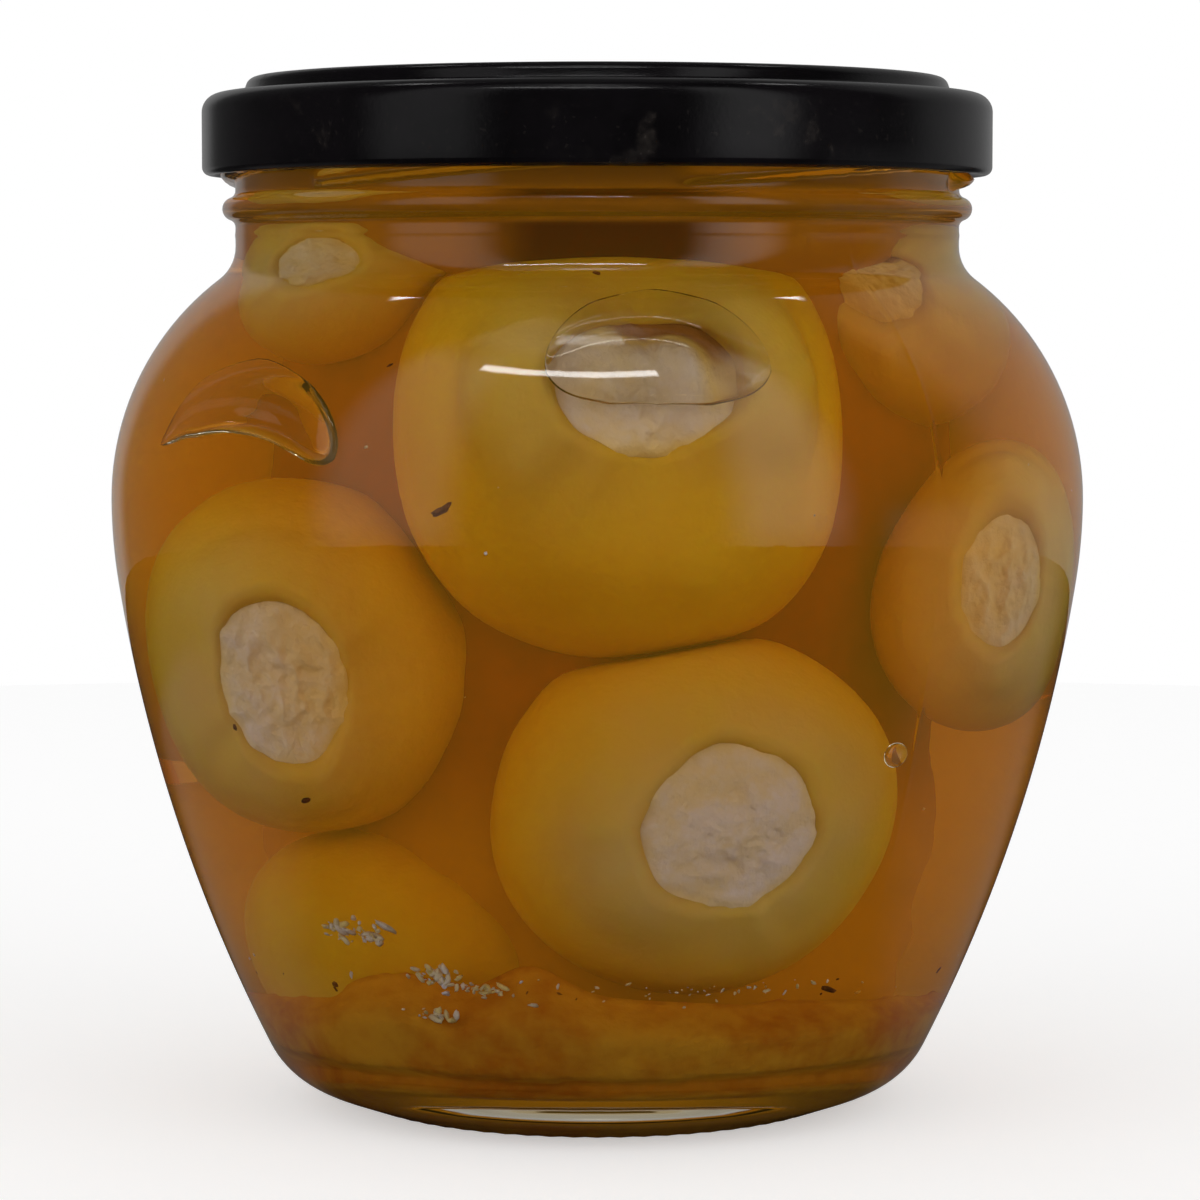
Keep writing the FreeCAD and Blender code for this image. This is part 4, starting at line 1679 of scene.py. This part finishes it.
# ---------------- crumbs, specks and the settled layer
@dataclass
class Scatter:
    """Small broken lumps, each a rough ball, joined into one piece."""

    outline: JarOutline
    seed: int
    wall_gap: float = 0.0003
    wall_room: float = 1.3
    small_bias: float = 2.2
    roughness: float = 0.5
    rough_size: float = 0.7
    variety: Pair = (0.75, 1.3)
    points: list[Triple] = field(default_factory=list)
    sizes: list[float] = field(default_factory=list)

    def cluster(self, middle: Triple, spread: Triple,
                count: int, size: Pair) -> None:
        """Add lumps round a place, pushed in off the wall.

        Args:
            middle: centre of the group.
            spread: typical distance from it along each axis.
            count: how many lumps.
            size: smallest and largest radius.
        """
        draw = np.random.default_rng(self.seed + len(self.points))
        for _ in range(count):
            point = np.array(middle) + draw.normal(size=3) * np.array(spread)
            radius = size[0] + (size[1] - size[0]) * draw.random() ** self.small_bias
            floor = self.outline.heel_floor + self.outline.floor_crown
            point[2] = max(point[2], floor + radius)
            reach = math.hypot(point[0], point[1])
            wall = float(self.outline.inner_radius(np.array([point[2]]))[0])
            most = wall - self.wall_room * radius - self.wall_gap
            if reach > most:
                point[:2] *= most / reach
            self.points.append(tuple(point))
            self.sizes.append(radius)

    def build(self, name: str, material: Material, slot: str,
              stretch: Triple = (1.0, 1.0, 1.0)) -> Piece:
        """Build and dress the lumps.

        Args:
            name: the piece's name.
            material: its finish.
            slot: not used.
            stretch: proportions of each lump before it is turned.

        Returns:
            The piece.
        """
        ball = bmesh.new()
        bmesh.ops.create_icosphere(ball, subdivisions=2, radius=1.0)
        base = np.array([v.co for v in ball.verts])
        faces = [tuple(v.index for v in f.verts) for f in ball.faces]
        ball.free()
        parts = MeshParts()
        draw = np.random.default_rng(self.seed)
        for index, (point, size) in enumerate(zip(self.points, self.sizes)):
            turn = np.linalg.qr(draw.normal(size=(3, 3)))[0]
            if np.linalg.det(turn) < 0.0:
                turn[:, 0] *= -1.0
            swell = 1.0 + self.roughness * rough_noise(base + index * 3.1, self.rough_size, self.seed, 2)
            proportions = np.array(stretch) * draw.uniform(*self.variety, 3)
            lump = (base * swell[:, None] * proportions) @ turn.T * size + np.array(point)
            tone = np.full(len(base), draw.random())
            parts.add(lump, faces, 0, tone)
        piece = parts.piece(name, [material])
        return piece


@dataclass
class SettledLayer:
    """The uneven layer of pulp and crumb on the floor of the jar.

    A mound is its angle in degrees, its width in degrees and its rise.
    """

    outline: JarOutline
    height: float = 0.0135
    front_height: float = 0.0172
    dip: float = 0.002
    clearance: float = 0.0005
    recede: float = 0.006
    foot_inset: float = 0.004
    mounds: tuple[Triple, ...] = ((-101.0, 8.0, 0.0032), (-128.0, 13.0, 0.0028))
    rim_rough: float = 0.0009
    dent_depth: float = 0.0007
    dent_size: float = 0.005
    top_rough: float = 0.0009
    top_size: float = 0.004
    side_rows: int = 22
    top_rows: int = 26
    columns: int = 240
    seed: int = 77

    def rim(self, turn: Array) -> Array:
        """Height of the layer's edge at each angle, higher in front and at the mounds."""
        front = 0.5 - 0.5 * np.sin(turn)
        ring = np.stack([np.cos(turn), np.sin(turn), np.zeros(len(turn))], axis=1)
        rim = self.height + (self.front_height - self.height) * front
        rim += self.rim_rough * rough_noise(ring, 0.6, self.seed, 3)
        for middle, width, rise in self.mounds:
            rim += rise * np.exp(-(degrees_apart(np.degrees(turn), middle) / width) ** 2)
        return rim

    def section(self, rim: Array) -> Array:
        """Radius and height by row and column: over the floor, up the wall and back over the top."""
        jar = self.outline
        floor = np.array(jar.floor(-self.clearance))[2:]
        foot = floor[floor[:, 0] < floor[-1, 0] - self.foot_inset]
        rows = [np.repeat(point[None], self.columns, axis=0) for point in foot[::2]]
        start = foot[-1]
        for share in np.linspace(0.1, 1.0, self.side_rows):
            height = start[1] + (rim - start[1]) * share ** 1.5
            corner = np.interp(height, floor[:, 1], floor[:, 0])
            side = np.where(height < floor[-1, 1], corner, jar.inner_radius(height) - self.clearance)
            side = side - self.recede * smooth_step(share, 0.5, 1.05) ** 2
            rows.append(np.stack([np.maximum(side, start[0] * 0.9), height], axis=1))
        edge = rows[-1][:, 0]
        middle = self.height - self.dip
        for share in np.linspace(0.97, 0.06, self.top_rows):
            top = middle + (rim - middle) * smooth_step(share, 0.55, 1.0)
            rows.append(np.stack([edge * share, top], axis=1))
        return np.array(rows)

    def build(self, shelf: EffectShelf) -> Piece:
        """Build and dress the layer, and give back its piece."""
        turn = turns(self.columns)
        grid = self.section(self.rim(turn))
        rings = revolve(grid[..., 0], grid[..., 1], turn)
        flat = rings.reshape(-1, 3)
        dents = 0.5 + 0.5 * rough_noise(flat, self.dent_size, self.seed + 3, 3)
        up = smooth_step(flat[:, 2], self.outline.heel_floor + self.dip, self.height - self.dip)
        flat = flat - outward(flat) * (self.dent_depth * np.clip(dents, 0.0, 2.0) * up)[:, None]
        on_top = np.arange(len(flat)) >= len(flat) - self.top_rows * self.columns
        flat[:, 2] += self.top_rough * rough_noise(flat, self.top_size, self.seed + 9, 3) * on_top
        parts = MeshParts()
        low = np.array([0.0, 0.0, grid[0, 0, 1]])
        high = np.array([0.0, 0.0, np.mean(flat[-self.columns:, 2])])
        parts.spin(flat.reshape(rings.shape), low, high)
        piece = parts.piece("settled_layer", [SettledCrumb().make(shelf)])
        return piece


@dataclass
class PulpCloud:
    """An opaque lumpy body that fills the middle of the jar between the peppers, its colour painted light
    and shade standing in for the depth of the cloudy oil.
    """

    heights: tuple[float, ...] = (0.012, 0.030, 0.060, 0.084, 0.091, 0.097, 0.1005, 0.1018)
    radii: tuple[float, ...] = (0.020, 0.024, 0.026, 0.024, 0.028, 0.030, 0.028, 0.020)
    lump_size: float = 0.012
    lump_height: float = 0.0016
    columns: int = 128
    rows: int = 90
    seed: int = 140

    def build(self, shelf: EffectShelf) -> Piece:
        """Build and dress the body, and give back its piece."""
        height = np.linspace(self.heights[0], self.heights[-1], self.rows)
        radius = np.interp(height, self.heights, self.radii)
        rings = revolve(radius[:, None], height[:, None], turns(self.columns))
        flat = rings.reshape(-1, 3)
        lumps = self.lump_height * rough_noise(flat, self.lump_size, self.seed, 3)
        flat = flat + outward(flat) * lumps[:, None]
        parts = MeshParts()
        parts.spin(flat.reshape(rings.shape), np.array([0.0, 0.0, self.heights[0]]),
                   np.array([0.0, 0.0, self.heights[-1]]))
        piece = parts.piece("painted_depth_core", [PulpHaze().make(shelf)])
        return piece


# ---------------- studio
@dataclass(frozen=True)
class Panel:
    """A soft-edged panel of the studio as the glass mirrors it, in degrees from the front."""

    azimuth: Pair
    elevation: Pair
    brightness: float
    feather: float = 4.0


@dataclass
class Studio:
    """Pale floor, soft light all round, and the camera."""

    light_low: float = 1.36
    light_high: float = 0.3
    surround: float = 0.03
    backdrop: float = 0.35
    inside_gain: float = 1.34
    floor_colour: float = 0.8
    floor_glow: float = 0.45
    floor_radius: float = 0.5
    light_below: float = 0.14
    light_below_reach: Pair = (0.05, 0.12)
    floor_aside: float = 0.22
    aside_start: Pair = (62.0, 82.0)
    aside_end: Pair = (125.0, 145.0)
    aside_reach_left: Pair = (0.20, 0.24)
    aside_reach_right: Pair = (0.3, 2.5)
    surround_start: Pair = (90.0, 170.0)
    surround_behind: float = 0.12
    backdrop_start: Pair = (95.0, 165.0)
    straight_start: Pair = (0.985, 0.995)
    straight_behind: float = 0.9
    lamp_azimuth: float = 52.0
    lamp_elevation: float = 14.0
    lamp_distance: float = 1.5
    lamp_size: float = 1.1
    lamp_power: float = 4.0
    camera_place: Triple = (0.0003, -0.468, 0.0887)
    camera_pitch: float = 4.19
    lens: float = 128.67
    panels: tuple[Panel, ...] = (
        Panel((-66.0, -34.0), (-8.0, 60.0), 0.6, 12.0),
        Panel((33.0, 57.0), (-8.0, 58.0), 1.0, 14.0),
        Panel((-41.0, 21.0), (55.3, 57.6), 14.0, 1.2),
        Panel((-60.0, 30.0), (64.0, 80.0), 0.4, 8.0),
        Panel((-22.0, 14.0), (70.0, 74.0), 3.0, 2.0),
        Panel((70.0, 145.0), (-14.0, 0.0), 0.22, 8.0),
        Panel((104.0, 176.0), (-10.0, 50.0), 0.30, 20.0),
        Panel((-177.0, -150.0), (-10.0, 40.0), 0.34, 10.0),
        Panel((-127.5, -122.5), (59.0, 65.0), 12.0, 2.0),
        Panel((122.5, 127.5), (59.0, 65.0), 12.0, 2.0),
    )

    def floor(self) -> None:
        """Lay the floor, which shows white with the jar's shadow."""
        mesh = bpy.data.meshes.new("floor")
        made = bmesh.new()
        bmesh.ops.create_circle(made, cap_ends=True, segments=96, radius=self.floor_radius)
        made.to_mesh(mesh)
        made.free()
        floor = bpy.data.objects.new("floor", mesh)
        bpy.context.scene.collection.objects.link(floor)
        material = bpy.data.materials.new("floor_paper")
        material.use_nodes = True
        nodes = Nodes(material.node_tree)
        shader = material.node_tree.nodes["Principled BSDF"]
        rays = nodes.add("ShaderNodeLightPath").outputs
        across, deep, _ = nodes.axes(nodes.place())
        ahead = nodes.times(deep, -1.0)
        far = nodes.maths("SQRT", nodes.plus(nodes.times(across, across), nodes.times(ahead, ahead)))
        turned = nodes.maths("ABSOLUTE", nodes.maths("DEGREES", nodes.maths("ARCTAN2", across, ahead)))
        grain = nodes.ramp(nodes.noise(nodes.place(), 300.0, 2.0), 0.3, 0.7)
        paper = nodes.blend(grain, grey(self.floor_colour), grey(self.floor_colour * 1.01))
        mirrored = nodes.blend(self.aside(nodes, across, far, turned), grey(self.surround),
                               grey(self.floor_aside))
        shade = nodes.blend(rays["Is Glossy Ray"], paper, mirrored)
        seen = nodes.maths("MAXIMUM", rays["Is Camera Ray"], rays["Is Transmission Ray"])
        seen = nodes.times(seen, nodes.maths("LESS_THAN", rays["Diffuse Depth"], 0.5))
        below = nodes.times(nodes.ramp(far, *self.light_below_reach, self.light_below, 0.0),
                            nodes.maths("GREATER_THAN", rays["Diffuse Depth"], 0.5))
        glow = nodes.plus(nodes.times(seen, self.floor_glow), below)
        nodes.put(shader, Base_Color=shade, Roughness=0.9, Specular_IOR_Level=0.0,
                  Emission_Color=grey(1.0), Emission_Strength=glow)
        mesh.materials.append(material)

    def aside(self, nodes: Nodes, across: object, far: object, turned: object) -> NodeSocket:
        """Share of the floor that shows in the glass at each place, at both sides of the jar."""
        band = nodes.times(nodes.ramp(turned, *self.aside_start),
                           nodes.ramp(turned, *self.aside_end, 1.0, 0.0))
        left = nodes.maths("LESS_THAN", across, 0.0)
        near = nodes.times(nodes.ramp(far, *self.aside_reach_left, 1.0, 0.0), left)
        wide = nodes.times(nodes.ramp(far, *self.aside_reach_right, 1.0, 0.0), nodes.rest(left))
        return nodes.times(band, nodes.plus(near, wide))

    def panel_mask(self, nodes: Nodes, azimuth: object, elevation: object, panel: Panel) -> object:
        """Share of a panel at an azimuth and elevation in degrees."""
        half = panel.feather / 2.0
        shares = []
        for value, (low, high) in ((azimuth, panel.azimuth), (elevation, panel.elevation)):
            shares.append(nodes.ramp(value, low - half, low + half))
            shares.append(nodes.ramp(value, high - half, high + half, 1.0, 0.0))
        total = shares[0]
        for share in shares[1:]:
            total = nodes.times(total, share)
        return total

    def world(self) -> None:
        """Set up the light all round, and what the glass mirrors and shows behind it."""
        world = bpy.data.worlds.new("studio")
        bpy.context.scene.world = world
        world.use_nodes = True
        world.cycles.sampling_method = "NONE"
        nodes = Nodes(world.node_tree)
        world.node_tree.nodes.remove(world.node_tree.nodes["Background"])
        output = world.node_tree.nodes["World Output"]
        rays = nodes.add("ShaderNodeLightPath").outputs
        across, deep, high = nodes.axes(nodes.add("ShaderNodeTexCoord").outputs["Generated"])
        azimuth = nodes.maths("DEGREES", nodes.maths("ARCTAN2", across, nodes.times(deep, -1.0)))
        elevation = nodes.maths("DEGREES", nodes.maths("ARCSINE", high))
        turned = nodes.maths("ABSOLUTE", azimuth)
        mirrored = nodes.ramp(turned, *self.surround_start, self.surround, self.surround_behind)
        for panel in self.panels:
            share = self.panel_mask(nodes, azimuth, elevation, panel)
            mirrored = nodes.plus(nodes.times(mirrored, nodes.rest(share)),
                                  nodes.times(share, panel.brightness))
        behind = nodes.ramp(turned, *self.backdrop_start, self.surround, self.backdrop)
        straight = nodes.ramp(deep, *self.straight_start, 0.0, self.straight_behind)
        through = nodes.times(nodes.maths("MAXIMUM", behind, straight), rays["Is Transmission Ray"])
        mirrored = nodes.maths("MAXIMUM", mirrored, through)
        shed = nodes.ramp(high, -0.2, 1.0, self.light_low, self.light_high, smooth=False)
        sunk = nodes.maths("GREATER_THAN", rays["Transmission Depth"], 2.5)
        shed = nodes.times(shed, nodes.plus(nodes.times(sunk, self.inside_gain - 1.0), 1.0))
        lighting = nodes.maths("GREATER_THAN", rays["Diffuse Depth"], 0.5)
        looked_at = self.choice(nodes, rays["Is Camera Ray"], self.glow(nodes, mirrored),
                                self.glow(nodes, 1.0))
        both = self.choice(nodes, lighting, looked_at, self.glow(nodes, shed))
        nodes.put(output, Surface=both)

    @staticmethod
    def glow(nodes: Nodes, strength: object) -> NodeSocket:
        """White light of a given strength, as a shader's socket."""
        ground = nodes.add("ShaderNodeBackground")
        nodes.put(ground, Color=grey(1.0), Strength=strength)
        return ground.outputs[0]

    @staticmethod
    def choice(nodes: Nodes, share: object, first: object, second: object) -> NodeSocket:
        """The first shader where the share is 0 and the second where it is 1."""
        mixed = nodes.add("ShaderNodeMixShader")
        for source, target in zip((share, first, second), mixed.inputs):
            nodes.feed(source, target)
        return mixed.outputs[0]

    def lamp(self, name: str, azimuth: float) -> None:
        """Hang a large soft lamp at an azimuth in degrees from the front, right positive."""
        data = bpy.data.lights.new(name, "AREA")
        data.size = self.lamp_size
        data.energy = self.lamp_power
        lamp = bpy.data.objects.new(name, data)
        bpy.context.scene.collection.objects.link(lamp)
        a, e = math.radians(azimuth), math.radians(self.lamp_elevation)
        toward = Vector((math.sin(a) * math.cos(e), -math.cos(a) * math.cos(e), math.sin(e)))
        lamp.location = toward * self.lamp_distance + Vector((0.0, 0.0, float(cad_high[2]) / 2.0))
        lamp.rotation_euler = (-toward).to_track_quat("-Z", "Y").to_euler()
        lamp.visible_glossy = False

    def camera(self) -> None:
        """Stand the camera in front of the jar."""
        data = bpy.data.cameras.new("camera")
        data.sensor_width = 36.0
        data.lens = self.lens
        data.clip_start = 0.01
        camera = bpy.data.objects.new("camera", data)
        bpy.context.scene.collection.objects.link(camera)
        camera.location = self.camera_place
        camera.rotation_euler = (math.radians(90.0 - self.camera_pitch), 0.0, 0.0)
        bpy.context.scene.camera = camera

    def build(self) -> None:
        """Set up the studio."""
        self.floor()
        self.world()
        self.lamp("lamp_left", -self.lamp_azimuth)
        self.lamp("lamp_right", self.lamp_azimuth)
        self.camera()
        bpy.context.scene.view_settings.view_transform = "Standard"


# ---------------- the whole jar
def jar_bubbles() -> tuple[Bubble, ...]:
    """The flat bubble before the upper pepper, the crescent at the left and one small bubble."""
    flat = Bubble(
        ((-0.0050, -0.0452, 0.0796), (0.0002, -0.0436, 0.0812), (0.0060, -0.0430, 0.0818),
         (0.0118, -0.0434, 0.0812), (0.0170, -0.0428, 0.0796)),
        (0.0034, 0.0051, 0.0056, 0.0051, 0.0034), 0.0009)
    crescent = Bubble(
        ((-0.0440, -0.0225, 0.0718), (-0.0405, -0.0270, 0.0757), (-0.0345, -0.0325, 0.0772),
         (-0.0290, -0.0372, 0.0752), (-0.0254, -0.0414, 0.0712)),
        (0.0010, 0.0030, 0.0037, 0.0034, 0.0026), 0.0017)
    small = Bubble(
        ((0.0281, -0.0356, 0.0417), (0.0293, -0.0348, 0.0417), (0.0305, -0.0336, 0.0417)),
        (0.0013, 0.0013, 0.0013), 0.0007, rows=24, bluntness=2.0)
    return flat, crescent, small


def crumbs(outline: JarOutline) -> Scatter:
    """Loose cheese crumbs on the floor, on the low left pepper and afloat in the oil."""
    scatter = Scatter(outline, 5)
    for middle in ((-0.026, -0.0309, 0.0235), (-0.023, -0.0335, 0.0232), (-0.016, -0.0354, 0.0193)):
        scatter.cluster(middle, (0.0016, 0.0006, 0.0006), 26, (0.0001, 0.00065))
    for middle in ((-0.0135, -0.0360, 0.0180), (-0.0106, -0.0365, 0.0180), (-0.0166, -0.0335, 0.0150)):
        scatter.cluster(middle, (0.0016, 0.0006, 0.0003), 18, (0.0001, 0.0005))
    scatter.cluster((0.012, -0.038, 0.0180), (0.008, 0.0008, 0.0004), 34, (0.00006, 0.00026))
    scatter.cluster((0.0, 0.0, 0.0175), (0.026, 0.026, 0.0009), 60, (0.0001, 0.0003))
    scatter.cluster((0.0, 0.0, 0.05), (0.03, 0.03, 0.022), 50, (0.00006, 0.00016))
    return scatter


def specks(outline: JarOutline) -> Scatter:
    """Brown flecks of skin and seed on the peppers and along the settled layer."""
    scatter = Scatter(outline, 9)
    for place, size in (
            ((0.0234, -0.0296, 0.0172), 0.0007), ((-0.0146, -0.0430, 0.0665), 0.0006),
            ((-0.0360, -0.0290, 0.0440), 0.0004), ((-0.0290, -0.0340, 0.0370), 0.0004),
            ((-0.0200, -0.0400, 0.0800), 0.0003), ((0.0, -0.0400, 0.0890), 0.0003)):
        scatter.cluster(place, (0.0, 0.0, 0.0), 1, (size, size))
    scatter.cluster((0.0, 0.0, 0.0170), (0.026, 0.026, 0.0012), 20, (0.00015, 0.0004))
    return scatter


def main() -> None:
    """Build every part of the jar and its studio."""
    logging.basicConfig(level=logging.INFO, format="%(name)s: %(message)s")
    outline = JarOutline()
    finish = FinishOutline()
    oil_level = float(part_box("oil")[1][2])
    shelf = EffectShelf()
    made = [GlassJar(outline, finish, oil_level).build(shelf)]
    made.append(TwistLid(outline, finish).build(shelf))
    made.append(OilFill(outline, oil_level, bubbles=jar_bubbles()).build(shelf))
    made += PepperPack(outline, front_peppers() + hidden_peppers()).build(shelf)
    # an opaque body whose colour is the painted light and shade of the oil's depth
    made.append(PulpCloud().build(shelf))
    made.append(SettledLayer(outline).build(shelf))
    made.append(crumbs(outline).build("loose_crumbs", bpy.data.materials["cheese"], "cheese",
                                      (1.5, 0.9, 0.6)))
    made.append(specks(outline).build("dark_specks", HerbSpeck().make(shelf), "herb_specks",
                                      (1.3, 0.8, 0.35)))
    Studio().build()
    for piece in made:
        LOG.info("%s: %d faces", piece.name, len(piece.data.polygons))
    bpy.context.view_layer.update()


if __name__ == "__main__":
    main()
